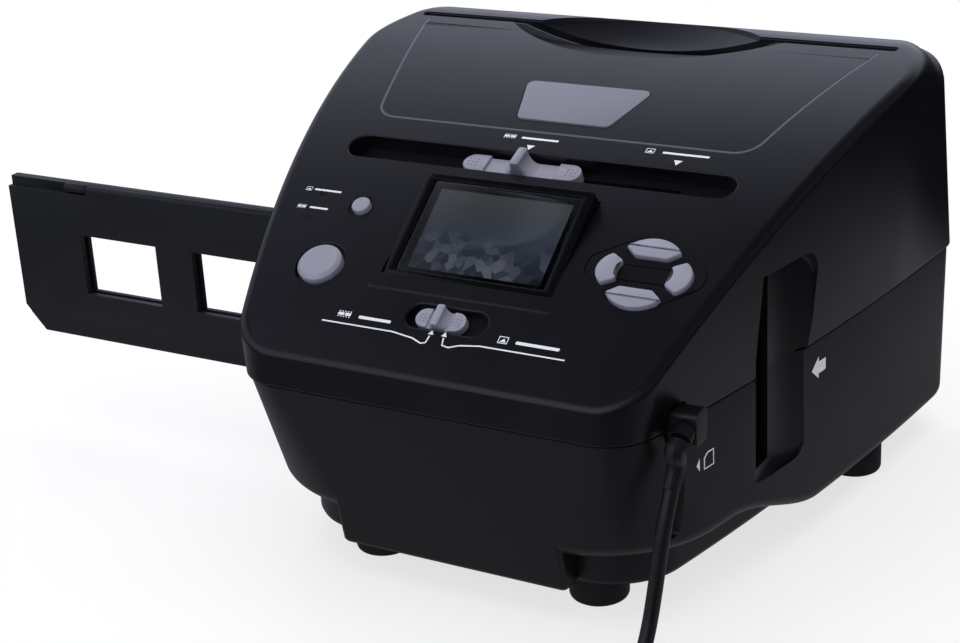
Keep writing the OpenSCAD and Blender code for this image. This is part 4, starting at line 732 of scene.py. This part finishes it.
def turned(points, sx, sy):
    """Mirrors an outline and keeps it anticlockwise."""
    out = [(x * sx, y * sy) for x, y in points]
    return out if sx * sy > 0 else out[::-1]


KEYS = {"mode_button": UPPER_KEY, "enter_button": turned(UPPER_KEY, 1, -1),
        "right_button": SIDE_KEY, "left_button": turned(SIDE_KEY, -1, 1)}
KEY_SURROUND = rounded([(20, -2), (20, 4), (3, 17.8), (-3, 17.8),
                        (-20, 4.5), (-20, -2), (-3, -15.5), (3, -15.5)],
                       4, 6)
PLATE = rounded([(-24.4, 11.8), (-17.4, -11.8), (17.4, -11.8), (24.4, 11.8)], 2.6, 6)


def ring_groove(outline, width, depth, place):
    """Cutter of a fine groove that follows a closed outline."""
    outer = slab("groove", grown(outline, width / 2), [(-depth, -0.1), (3, 0.1)], place)
    inner = slab("island", grown(outline, -width / 2), [(-depth - 1, 0.1), (4, -0.1)], place)
    return cut(outer, inner)


def draped(name, line, width, depth, above=3.0):
    """Cutter of a groove along a line of (x, y) points on the panel or lid, V-shaped in section."""
    rings = []
    for i, (x, y) in enumerate(line):
        ax, ay = line[max(0, i - 1)]
        bx, by = line[min(len(line) - 1, i + 1)]
        n = Vector((by - ay, ax - bx)).normalized() * width / 2
        ring = []
        for share, drop in ((-1, above), (-1, 0.02), (0.25, -depth), (1, 0.02), (1, above)):
            px, py = x + n.x * share, y + n.y * share
            ring.append((px, py, top_z(py) + drop))
        rings.append(ring)
    return loft(name, rings)


def lid_line():
    """Outline of the lid, from the right end of the print slot round its front to the left end."""
    right = [(89.0, 79.5), (88.1, 75.0)]
    corner = rounded([(88.1, 75.0), (70.5, 10.4), (0.0, 10.4)], [0.01, 9.0, 0.01], 10)
    line = [p for p in corner if p[0] > 0.5]
    run = [right[0]]
    for a, b in zip(line, line[1:]):
        steps = max(1, int(math.hypot(b[0] - a[0], b[1] - a[1]) / 3))
        run += [(a[0] + (b[0] - a[0]) * i / steps, a[1] + (b[1] - a[1]) * i / steps) for i in range(steps)]
    run = run + [line[-1]]
    return run + [(-x, y) for x, y in reversed(run)]


def usb_mouth():
    turn = BODY @ Matrix.Translation((60.5, -62.4, 74)) @ Matrix.Rotation(math.pi / 2, 4, "Y")
    return slab("usb_mouth", box_outline(12, 8.4, 1.5), [(0, 0), (FAR, 0)], turn)


# Depth of the grooves of the light slider and the focus slider, and place of the name plate
LIGHT_GROOVE_DEPTH, FOCUS_GROOVE_DEPTH = 6, 3.5
PLATE_Y = 27.4


def make_upper_shell():
    inner_rings = [seam_ring(WALL, SEAM_Z - 1)] + [upper_ring(i / 4, WALL) for i in range(5)]
    cavity = loft("cavity", inner_rings, halves=True)
    pads = [slab("pad", slot_outline(-LIGHT_GROOVE_HALF, LIGHT_GROOVE_HALF, LIGHT_GROOVE_W + 3.2),
                 [(-7.6, 0), (2, 0)], on_panel(0, LIGHT_GROOVE_Y)),
            slab("pad", slot_outline(-FOCUS_GROOVE_HALF, FOCUS_GROOVE_HALF, FOCUS_GROOVE_W + 3.2),
                 [(-4.9, 0), (2, 0)], on_panel(0, FOCUS_GROOVE_Y)),
            slab("pad", shifted(circle(SCAN_R + 3), *SCAN_AT), [(-4.4, 0), (0.6, 0)], LEFT_GROUP),
            scoop(53, 24, -1, WALL), scoop(45, 17, 1, WALL), recess(1, WALL), recess(-1, WALL)]
    cut(cavity, *pads)

    seam = [seam_ring(0.5, SEAM_Z), seam_ring(0.12, SEAM_Z + 0.12), seam_ring(0, SEAM_Z + 0.5)]
    shell = loft("upper_shell", seam + [upper_ring(i / 10, 0) for i in range(11)], halves=True)
    print_mouth = BODY @ Matrix.Translation((0, PRINT_Y, top_z(PRINT_Y)))
    slit_y = LIGHT_GROOVE_Y + LIGHT_GROOVE_DEPTH * math.sin(top_slope(LIGHT_GROOVE_Y))
    focus_y = FOCUS_GROOVE_Y + FOCUS_GROOVE_DEPTH * math.sin(top_slope(FOCUS_GROOVE_Y))
    focus_z = top_z(FOCUS_GROOVE_Y) - FOCUS_GROOVE_DEPTH * math.cos(top_slope(FOCUS_GROOVE_Y))
    well_floor = -1.6 - (TOP_BOW - math.sqrt(TOP_BOW ** 2 - SCAN_AT[1] ** 2))
    cutters = [
        cavity, usb_mouth(), recess(1), recess(-1), scoop(53, 24, -1), scoop(45, 17, 1),
        block("film_mouth", -FAR, FAR, *MOUTH_Y, SEAM_Z - 1, MOUTH_Z[1]),
        slab("print_slot", box_outline(188, 3.4, 1.2), rim(0.5, -14), print_mouth),
        slab("light_groove", slot_outline(-LIGHT_GROOVE_HALF, LIGHT_GROOVE_HALF, LIGHT_GROOVE_W),
             rim(0.7, -LIGHT_GROOVE_DEPTH), on_panel(0, LIGHT_GROOVE_Y)),
        block("slit", -8.8, 51.7, slit_y - 2, slit_y + 2, 112, top_z(LIGHT_GROOVE_Y)),
        slab("focus_groove", slot_outline(-FOCUS_GROOVE_HALF, FOCUS_GROOVE_HALF, FOCUS_GROOVE_W),
             rim(0.8, -FOCUS_GROOVE_DEPTH), on_panel(0, FOCUS_GROOVE_Y)),
        block("slit", -5.4, 5.8, focus_y - 1.8, focus_y + 1.8, focus_z - 5, focus_z + 3),
        slab("pod_pocket", box_outline(62.2, 41.2, 0.5), [(-12, 0), (18, 0)], POD),
        slab("plate_pocket", grown(PLATE, 0.35), rim(0.25, -0.8), on_panel(0, PLATE_Y)),
        slab("scan_well", shifted(circle(SCAN_R + 1.2), *SCAN_AT), rim(0.7, well_floor), LEFT_GROUP),
        slab("scan_hole", shifted(circle(SCAN_R + 0.3), *SCAN_AT), [(-10, 0), (1, 0)], LEFT_GROUP),
        slab("power_well", shifted(circle(POWER_R + 1.5, 48), *POWER_AT), rim(0.5, -0.7), LEFT_GROUP),
        slab("power_hole", shifted(circle(POWER_R + 0.3, 48), *POWER_AT), [(-10, 0), (1, 0)], LEFT_GROUP),
        ring_groove(KEY_SURROUND, 0.7, 0.35, RIGHT_GROUP),
        draped("lid_line", lid_line(), 1.3, 0.35),
        draped("display_line", [(-33.5, -58.9), (-32.5, -59.7)] + [(x, -59.7) for x in range(-30, 31, 6)]
               + [(32.5, -59.7), (33.5, -58.9)], 1.0, 0.3),
    ]
    cutters += [slab("lamp_hole", shifted(circle(1.3, 24), *p), [(-9, 0), (2, 0)], LEFT_GROUP)
                for p in LIGHTS_AT]
    cutters += [slab("key_hole", grown(k, 0.3), rim(0.25, -9), RIGHT_GROUP) for k in KEYS.values()]
    cut(shell, *cutters)
    return finish(shell, "scanner", lid_abs, "upper_shell", "upper_housing", angle=16, weighted=True)


# The plinth under the belly: how far it steps in past the fillet, and its front and rear corners
PLINTH_SIDE_STEP, PLINTH_FRONT_STEP = 5.5, 5.3
PLINTH_CORNERS = (26, 14)


def make_lower_shell():
    def skin(depth, tops):
        rings = [lower_head(depth + inset, z) for z, inset in tops]
        return rings + [lower_ring(i / 10, depth) for i in range(10, -1, -1)]
    shell = loft("lower_shell", skin(0, [(SEAM_Z, 1.6), (SEAM_Z - 0.75, 1.6), (SEAM_Z - 0.75, 0.3),
                                         (SEAM_Z - 1.0, 0.05), (SEAM_Z - 1.3, 0)]), halves=True)
    cavity = loft("cavity", skin(WALL, [(SEAM_Z + 1, 0)]), halves=True)
    cut(cavity, recess(1, WALL), recess(-1, WALL))

    def plinth(depth, low):
        side_in = LIP + BELLY_TAPER * (SEAM_Z - BELLY_Z) + BELLY_FILLET + PLINTH_SIDE_STEP + depth
        front_in = LIP + FRONT_TAPER * (SEAM_Z - FRONT_BELLY_Z) + BELLY_FILLET + PLINTH_FRONT_STEP + depth
        front_r, rear_r = (r - depth for r in PLINTH_CORNERS)
        levels = [(40, 0), (low + 2, 0), (low + 0.6, 0.6), (low, 2)] if depth == 0 else [(38, 0), (low, 0)]
        return loft("plinth", [mirrored([(*plan_point(
            k, side_in + g, front_in + g, side_in + g, front_r - g, rear_r - g), z)
            for k in STATIONS]) for z, g in levels], halves=True)

    def front_block(depth):
        low = BELLY_Z + 0.8 + depth
        half = BLOCK_WIDTH / 2 - depth
        levels = [(40, 0), (low + 1.5, 0), (low + 0.45, 0.45), (low, 1.5)]
        rings = []
        for z, g in levels:
            front = FRONT_Y + LIP + depth + FRONT_TAPER * (SEAM_Z - z) + g
            soft = 1.5
            rings.append([(-half + g + soft, front, z), (half - g - soft, front, z),
                          (half - g - soft * 0.3, front + soft * 0.3, z), (half - g, front + soft, z),
                          (half - g, -30, z), (-half + g, -30, z),
                          (-half + g, front + soft, z), (-half + g + soft * 0.3, front + soft * 0.3, z)])
        return loft("front_block", rings)

    pads = [slab("pad", circle(9.5), [(BELLY_Z, 0), (BELLY_Z + 12, 0)], BODY @ Matrix.Translation((x, y, 0)))
            for x, y in FEET_AT]
    cut(shell, plinth(0, BELLY_Z), front_block(0), *pads, kind="UNION")
    card = BODY @ Matrix.Translation((69.6, -61.9, 47)) @ Matrix.Rotation(math.pi / 2, 4, "Y")
    cut(shell, cavity, plinth(WALL, BELLY_Z + WALL), front_block(WALL), usb_mouth(), recess(1), recess(-1),
        block("film_mouth", -FAR, FAR, *MOUTH_Y, MOUTH_Z[0], SEAM_Z + 1),
        block("card_mouth", 64, FAR, -63.2, -60.6, 34, 60),
        slab("card_finger", box_outline(29, 8, 2), [(0, 0), (FAR, 0)], card),
        *[slab("foot_hole", circle(1.5, 24), [(BELLY_Z - 1, 0), (BELLY_Z + 7, 0)],
               BODY @ Matrix.Translation((x, y, 0))) for x, y in FEET_AT])
    return finish(shell, "scanner", base_abs, "lower_shell", "lower_housing", angle=16, weighted=True)


FEET_AT = [(-41.5, -49), (41.5, -49), (-86, 71.4), (86, 71.4)]
make_upper_shell()
make_lower_shell()

# ---- Controls ----


def join(name, *pieces):
    """Joins pieces into one object."""
    deselect()
    for ob in pieces:
        ob.select_set(True)
    bpy.context.view_layer.objects.active = pieces[0]
    if len(pieces) > 1:
        bpy.ops.object.join()
    ob = bpy.context.object
    ob.name = ob.data.name = name
    return ob


def softened(name, node, width, segments=2, angle=25):
    """A copy of a CAD piece with its edges broken by a small bevel."""
    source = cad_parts[node]
    deselect()
    ob = source.copy()
    ob.data = source.data.copy()
    bpy.context.scene.collection.objects.link(ob)
    ob.parent = None
    ob.matrix_world = source.matrix_world
    ob.name = ob.data.name = name
    pick(ob)
    bpy.ops.object.transform_apply(location=True, rotation=True, scale=True)
    bpy.ops.object.mode_set(mode="EDIT")
    bpy.ops.mesh.select_all(action="SELECT")
    bpy.ops.mesh.remove_doubles(threshold=0.000002)
    bpy.ops.mesh.dissolve_limited(angle_limit=math.radians(1))
    bpy.ops.object.mode_set(mode="OBJECT")
    change = ob.modifiers.new("edge", "BEVEL")
    change.width, change.segments = width * MM, segments
    change.limit_method, change.angle_limit = "ANGLE", math.radians(angle)
    bpy.ops.object.modifier_apply(modifier=change.name)
    return ob


def lowered(levels, by):
    return [(z - by, g) for z, g in levels]


# How far the small round button stands lower than the keys
POWER_SUNK = 0.254


def make_buttons():
    """Silver caps with a soft step up to a flat or slightly crowned face."""
    cap = slab("scan_cap", shifted(circle(SCAN_R, 96), *SCAN_AT), [
        (-5.4, 1.1), (-4.4, 1.1), (-4.4, 0), (0.35, 0), (0.55, -0.08), (0.68, -0.22), (1.45, -1.05),
        (1.56, -1.2), (1.6, -1.45), (1.58, -2.6), (1.52, -4.5), (1.48, -6)], LEFT_GROUP)
    finish(cap, "scan_button", silver_lacquer, "button_silver", "scan_button", angle=40)
    cap = slab("power_cap", shifted(circle(POWER_R, 64), *POWER_AT), lowered([
        (-3.5, 1), (-2.5, 1), (-2.5, 0), (0.9, 0), (1.2, -0.1), (1.4, -0.35), (1.45, -0.8), (1.42, -2.5)],
        POWER_SUNK),
        LEFT_GROUP)
    finish(cap, "power_button", silver_lacquer, "button_silver", "power_button", angle=40)
    for node, outline in KEYS.items():
        cap = slab(node + "_cap", outline, [
            (-3.5, 0.9), (-2.5, 0.9), (-2.5, 0), (0.8, 0), (1.1, -0.08), (1.32, -0.25), (1.45, -0.5)],
            RIGHT_GROUP)
        finish(cap, node, silver_lacquer, "button_silver", node, angle=40)


def knob(name, half, width, floor, bar, pad, pad_long, blade, top, flare, place):
    """A slider: a bar with round ends, a raised pad with dots at each end, and a flared blade in the
    middle."""
    z = floor + bar
    pieces = [slab("bar", slot_outline(-half + width / 2, half - width / 2, width),
                   eased(0.5, floor, z), place)]
    for side in (-1, 1):
        inner = half - pad_long
        outline = arc(half - width / 2, 0, width / 2, -90, 90, 16) + [(inner, width / 2), (inner, -width / 2)]
        if side < 0:
            outline = [(-x, y) for x, y in reversed(outline)]
        pieces.append(slab("pad", outline, [
            (z - 0.4, 0), (z + pad - 0.35, 0), (z + pad - 0.1, -0.12), (z + pad, -0.35)], place))
        step = 1.5 if pad > 0.9 else 1.2
        for i in range(3):
            for j in (-1, 0, 1):
                x = side * (half - 2.0 - i * step)
                spot = Matrix.Translation((x, j * step, z + pad - 0.1))
                pieces.append(slab("dot", circle(0.36, 12), [
                    (0, 0), (0.22, -0.03), (0.32, -0.12), (0.36, -0.24)], place @ spot))
    rings = []
    for i in range(25):
        share = i / 24
        h = z - 0.3 + (top - z + 0.3) * share
        reach = blade + flare * (1 - share) ** 3.2
        wide = width / 2 - 0.1 + 0.45 * share
        crown = max(0.0, (share - 0.86) / 0.14)
        reach -= (blade - 0.35) * crown ** 2
        wide -= 1.2 * crown ** 2
        corner = min(reach, wide) * 0.55
        rings.append([(x, y, h) for x, y in box_outline(2 * reach, 2 * wide, corner, 5)])
    pieces.append(loft("blade", rings, place))
    return join(name, *pieces)


def slider(name, body, node, x, groove_y, depth, stem_size, stem_levels, *sizes):
    """A knob in its groove, on a stem through the slit in the groove's floor."""
    y = groove_y + depth * math.sin(top_slope(groove_y))
    half_x, half_y = stem_size
    stem = block("stem", x - half_x, x + half_x, y - half_y, y + half_y, *stem_levels)
    piece = join(name, knob(name, *sizes, on_panel(x, groove_y)), stem)
    finish(piece, body, silver_lacquer, "button_silver", node)


def make_sliders():
    slider("light_knob", "light_slider", "light_slider_knob", LIGHT_KNOB_X, LIGHT_GROOVE_Y,
           LIGHT_GROOVE_DEPTH, (3.0, 1.2), (112.0, top_z(LIGHT_GROOVE_Y) - 4.4),
           22.1, 8.0, -5.5, 2.8, 1.1, 9.0, 1.7, 4.0, 4.6)
    focus_top = top_z(FOCUS_GROOVE_Y) - FOCUS_GROOVE_DEPTH * math.cos(top_slope(FOCUS_GROOVE_Y)) + 1.2
    slider("focus_knob", "focus_slider", "focus_slider_knob", FOCUS_KNOB_X, FOCUS_GROOVE_Y,
           FOCUS_GROOVE_DEPTH, (2.5, 1.1), (85.3, focus_top),
           9.0, 7.2, -3.1, 1.9, 0.7, 5.0, 1.4, 2.9, 2.6)


LIGHT_KNOB_X, FOCUS_KNOB_X = -4.8, -2.3
make_buttons()
make_sliders()

# ---- Plate, display, lights ----


def make_fittings():
    plate = slab("plate_cap", PLATE, [(-0.78, 0), (0.12, 0), (0.26, -0.06), (0.3, -0.2)],
                 on_panel(0, PLATE_Y))
    finish(plate, "scanner", badge_metal, "badge_silver", "name_plate")
    for name, node, width, segments, body, material, slot in (
            ("display_bezel", "screen_bezel", 0.5, 3, "scanner", gloss_styrene, "screen_frame"),
            ("display_window", "screen_window", 0.15, 2, "scanner", screen_acrylic, "screen_clear"),
            ("holder_front", "holder_base", 0.3, 2, "film_holder", holder_styrene, "holder_plastic"),
            ("holder_lid", "holder_cover", 0.25, 2, "film_holder", holder_styrene, "holder_plastic"),
            ("rubber_feet", "feet", 0.8, 3, "scanner", foot_rubber, "foot_rubber"),
            ("lead_plug", "usb_plug", 0.6, 3, "scanner", cord_pvc, "cord_rubber"),
            ("lead_boot", "usb_boot", 0.2, 2, "scanner", cord_pvc, "cord_rubber"),
            ("far_plug", "computer_plug", 0.8, 3, "scanner", cord_pvc, "cord_rubber")):
        finish(softened(name, node, width, segments), body, material, slot, node)


make_fittings()

# ---- Printed marks: generic signs in place of words ----


def stroke(points, width):
    """Outline of a line of constant width through points."""
    left, right = [], []
    for i, p in enumerate(points):
        a, b = Vector(points[max(0, i - 1)]), Vector(points[min(len(points) - 1, i + 1)])
        n = Vector((a.y - b.y, b.x - a.x)).normalized() * width / 2
        left.append((p[0] + n.x, p[1] + n.y))
        right.append((p[0] - n.x, p[1] - n.y))
    return right + left[::-1]


def mark(outline, place):
    return slab("mark", outline, [(-0.06, 0), (0.03, 0)], place)


def panel_stroke(points, width):
    """A line printed on the panel, from body x and y."""
    x0, y0 = points[0]
    place = on_panel(x0, y0)
    scale = 1 / math.cos(top_slope(y0))
    return mark(stroke([(x - x0, (y - y0) * scale) for x, y in points], width), place)


def panel_bar(x0, x1, y, high):
    return mark(box_outline(x1 - x0, high, high * 0.3, 2), on_panel((x0 + x1) / 2, y))


def panel_triangle(x, y, size, way=1):
    points = [(-size, size * 0.7), (0, -size), (size, size * 0.7)]
    return mark(points if way > 0 else turned(points, 1, -1), on_panel(x, y))


def film_sign(x, y, high):
    """A strip of film: a bar with a row of holes above and below, drawn as separate bars."""
    place = on_panel(x, y)
    pieces = [mark(shifted(box_outline(high * 0.85, high * 0.42, 0.1, 2), dx * high, 0), place)
              for dx in (-0.5, 0.5)]
    for dx in (-0.8, -0.4, 0, 0.4, 0.8):
        for dy in (-0.38, 0.38):
            hole = box_outline(high * 0.16, high * 0.16, 0.02, 1)
            pieces.append(mark(shifted(hole, dx * high, dy * high), place))
    return pieces


def sheet_sign(x, y, high):
    """A print: a thin frame with a hill in it."""
    place = on_panel(x, y)
    frame_line = cut(mark(box_outline(high * 1.3, high, 0.15, 2), place),
                     slab("hole", box_outline(high * 1.1, high * 0.8, 0.05, 2), [(-1, 0), (1, 0)], place))
    hill = mark([(-high * 0.45, -high * 0.3), (high * 0.45, -high * 0.3), (high * 0.1, high * 0.22)], place)
    return [frame_line, hill]


def make_marks():
    y = -72.7
    left = [(-43, y), (-16.3, y), (-8.5, y - 0.9), (-5, y - 2), (-3.4, y - 1.6), (-3, y + 0.6)]
    right = [(44.5, y), (15.2, y), (8.5, y - 0.8), (5, y - 1.9), (2.6, y - 1.6), (2.0, y + 0.6)]
    pieces = [panel_stroke(left, 0.5), panel_stroke(right, 0.5)]
    pieces += [panel_triangle(-2.9, y + 1.6, 1.0, -1), panel_triangle(1.9, y + 1.6, 1.0, -1)]
    pieces += film_sign(-36, y + 2.9, 2.6) + [panel_bar(-30.5, -18.5, y + 2.7, 1.1)]
    pieces += sheet_sign(22, y + 2.9, 2.6) + [panel_bar(26.5, 41.5, y + 2.7, 1.1)]
    pieces += film_sign(-15, 6.9, 2.4) + [panel_bar(-10.5, 3.5, 6.7, 1.0)]
    pieces += sheet_sign(37, 7.1, 2.4) + [panel_bar(41.5, 58, 6.9, 1.0)]
    pieces += [panel_triangle(-5.2, 2.4, 1.5), panel_triangle(48.4, 2.9, 1.5)]
    slope_y = -44
    place_y = slope_y + 18.9 * math.cos(top_slope(slope_y))
    pieces += sheet_sign(-75.5, place_y, 1.8) + [panel_bar(-73.2, -62.5, place_y, 0.8)]
    place_y = slope_y + 10.4 * math.cos(top_slope(slope_y))
    pieces += film_sign(-74, place_y, 1.8) + [panel_bar(-70.8, -63.5, place_y, 0.8)]
    finish(join("panel_marks", *pieces), "scanner", print_white, "white_plate")


def on_wall(y, z, side_in):
    """Local millimetres on the right wall: X towards the rear, Y up, Z outwards."""
    x = BOW_X + math.sqrt((SIDE_BOW - side_in) ** 2 - (y - BOW_Y) ** 2)
    n = Vector((x - BOW_X, y - BOW_Y, 0)).normalized()
    turn = Matrix(((-n.y, 0, n.x), (n.x, 0, n.y), (0, 1, 0))).to_4x4()
    return BODY @ Matrix.Translation((x, y, z)) @ turn


def make_wall_marks():
    arrow_at = on_wall(17.7, 62.3, LIP + BELLY_TAPER * (SEAM_Z - 62.3))
    arrow = mark([(-4.6, 0), (-0.2, -3.9), (-0.2, -2.1), (4.4, -2.1),
                  (4.4, 2.1), (-0.2, 2.1), (-0.2, 3.9)], arrow_at)
    card_at = on_wall(-46.5, 54.6, LIP + BELLY_TAPER * (SEAM_Z - 54.6))
    pointer = mark([(-5.4, 0), (-3.8, -2.2), (-3.8, 2.2)], card_at)
    card = [(-1.6, -2.6), (3.6, -2.6), (3.6, 3.0), (0.2, 3.0), (-1.6, 1.4)]
    card_line = cut(mark(card, card_at), slab("hole", grown(card, -0.55), [(-1, 0), (1, 0)], card_at))
    finish(join("wall_marks", arrow, pointer, card_line), "scanner", print_white, "white_plate")


def make_lid_edge():
    """A painted highlight: a lighter strip along the outline of the lid, where its fine edge catches light.
    """
    line = lid_line()
    rings = []
    for i, (x, y) in enumerate(line):
        ax, ay = line[max(0, i - 1)]
        bx, by = line[min(len(line) - 1, i + 1)]
        n = Vector((by - ay, ax - bx)).normalized() * 0.5
        rings.append([(x + n.x * share, y + n.y * share, top_z(y + n.y * share) + up)
                      for share, up in ((-1, -0.3), (-1, -0.02), (-0.2, 0.03), (1, -0.04), (1, -0.3))])
    finish(loft("lid_edge", rings), "scanner", painted_highlight_abs, "upper_shell")


make_marks()
make_wall_marks()
make_lid_edge()

# ---- Floor and light ----


def make_stage():
    deselect()
    bpy.ops.mesh.primitive_circle_add(vertices=96, radius=8, fill_type="NGON", location=(0, 0, 0))
    floor = bpy.context.object
    floor.name = "studio_floor"
    material, tree = blank("painted_floor")
    place = add(tree, "TexCoord").outputs["Object"]
    reach = add(tree, "VectorMath", {0: place}, operation="LENGTH")
    fade = add(tree, "MapRange", {
        "Value": reach.outputs["Value"], "From Min": 0.22, "From Max": 0.5, "To Min": 0.72, "To Max": 1.0})
    # Glossy rays see the floor bright beside the machine and dark farther off, as in a dim studio
    far_off = add(tree, "MapRange", {
        "Value": reach.outputs["Value"], "From Min": 0.25, "From Max": 0.38, "To Min": 0.24, "To Max": 0.01})
    beside = add(tree, "VectorMath", {0: place, 1: (0.23, 0.24, 0)}, operation="DISTANCE")
    pool = add(tree, "MapRange", {
        "Value": beside.outputs["Value"], "From Min": 0.02, "From Max": 0.11, "To Min": 0.14, "To Max": 0.0})
    in_gloss = add(tree, "Math", {0: far_off.outputs[0], 1: pool.outputs[0]}, operation="ADD")
    rays = add(tree, "LightPath")
    paint = add(tree, "BsdfDiffuse", {"Color": linear("#fafafa")})
    white = add(tree, "Emission", {"Color": (1, 1, 1, 1), "Strength": 1.0})
    dim = add(tree, "Emission", {"Color": (1, 1, 1.1, 1), "Strength": in_gloss.outputs[0]})
    far_share = add(tree, "Math", {
        0: rays.outputs["Is Camera Ray"], 1: fade.outputs["Result"]}, operation="MULTIPLY")
    shown = add(tree, "MixShader", {
        "Fac": far_share.outputs[0], 1: paint.outputs["BSDF"], 2: white.outputs["Emission"]})
    both = add(tree, "MixShader", {
        "Fac": rays.outputs["Is Glossy Ray"], 1: shown.outputs["Shader"], 2: dim.outputs["Emission"]})
    add(tree, "OutputMaterial", {"Surface": both.outputs["Shader"]})
    floor.data.materials.append(material)

    world = bpy.data.worlds.new("studio")
    world.use_nodes = True
    world.node_tree.nodes.clear()
    tree = world.node_tree
    way = add(tree, "TexCoord").outputs["Generated"]
    split = add(tree, "SeparateXYZ", {"Vector": way}).outputs
    # A wall of light for reflections, brightest low on the left, which fades upwards and to the right
    wall = add(tree, "MapRange", {"Value": split["Z"], "From Min": 0.62, "From Max": 0.87,
                                            "To Min": 0.95, "To Max": 0.03}).outputs[0]
    for low, high, first, last in ((-0.05, 0.4, 1.0, 0.12), (-0.9, -0.4, 0.5, 1.0)):
        side = add(tree, "MapRange", {"Value": split["X"], "From Min": low, "From Max": high,
                                                "To Min": first, "To Max": last}).outputs[0]
        wall = add(tree, "Math", {0: wall, 1: side}, operation="MULTIPLY").outputs[0]
    back = add(tree, "Background", {"Color": (0.83, 0.88, 1.08, 1), "Strength": wall})
    rays = add(tree, "LightPath")
    plain = add(tree, "Background", {"Color": (1, 1, 1, 1), "Strength": 1.0})
    both = add(tree, "MixShader", {
        "Fac": rays.outputs["Is Camera Ray"], 1: back.outputs["Background"], 2: plain.outputs["Background"]})
    add(tree, "OutputWorld", {"Surface": both.outputs["Shader"]})
    bpy.context.scene.world = world


def make_lamp(name, place, target, size, power, glossy=True):
    deselect()
    bpy.ops.object.light_add(type="AREA", location=Vector(place))
    lamp = bpy.context.object
    lamp.name = name
    lamp.data.shape = "RECTANGLE"
    lamp.data.size, lamp.data.size_y = size
    lamp.data.energy = power
    lamp.rotation_euler = (Vector(target) - Vector(place)).to_track_quat("-Z", "Y").to_euler()
    lamp.visible_glossy = glossy
    lamp.visible_transmission = glossy


make_stage()
make_lamp("back_softbox", (-0.75, 0.85, 0.95), (0.05, 0, 0.08), (0.8, 0.8), 4, glossy=False)
make_lamp("overhead_fill", (0.05, -0.1, 2.0), (0.05, -0.1, 0), (2.4, 2.4), 40, glossy=False)
make_lamp("front_fill", (0.9, -1.2, 1.0), (0.05, 0, 0.08), (0.8, 0.8), 4, glossy=False)

bpy.context.scene.view_settings.view_transform = "Standard"
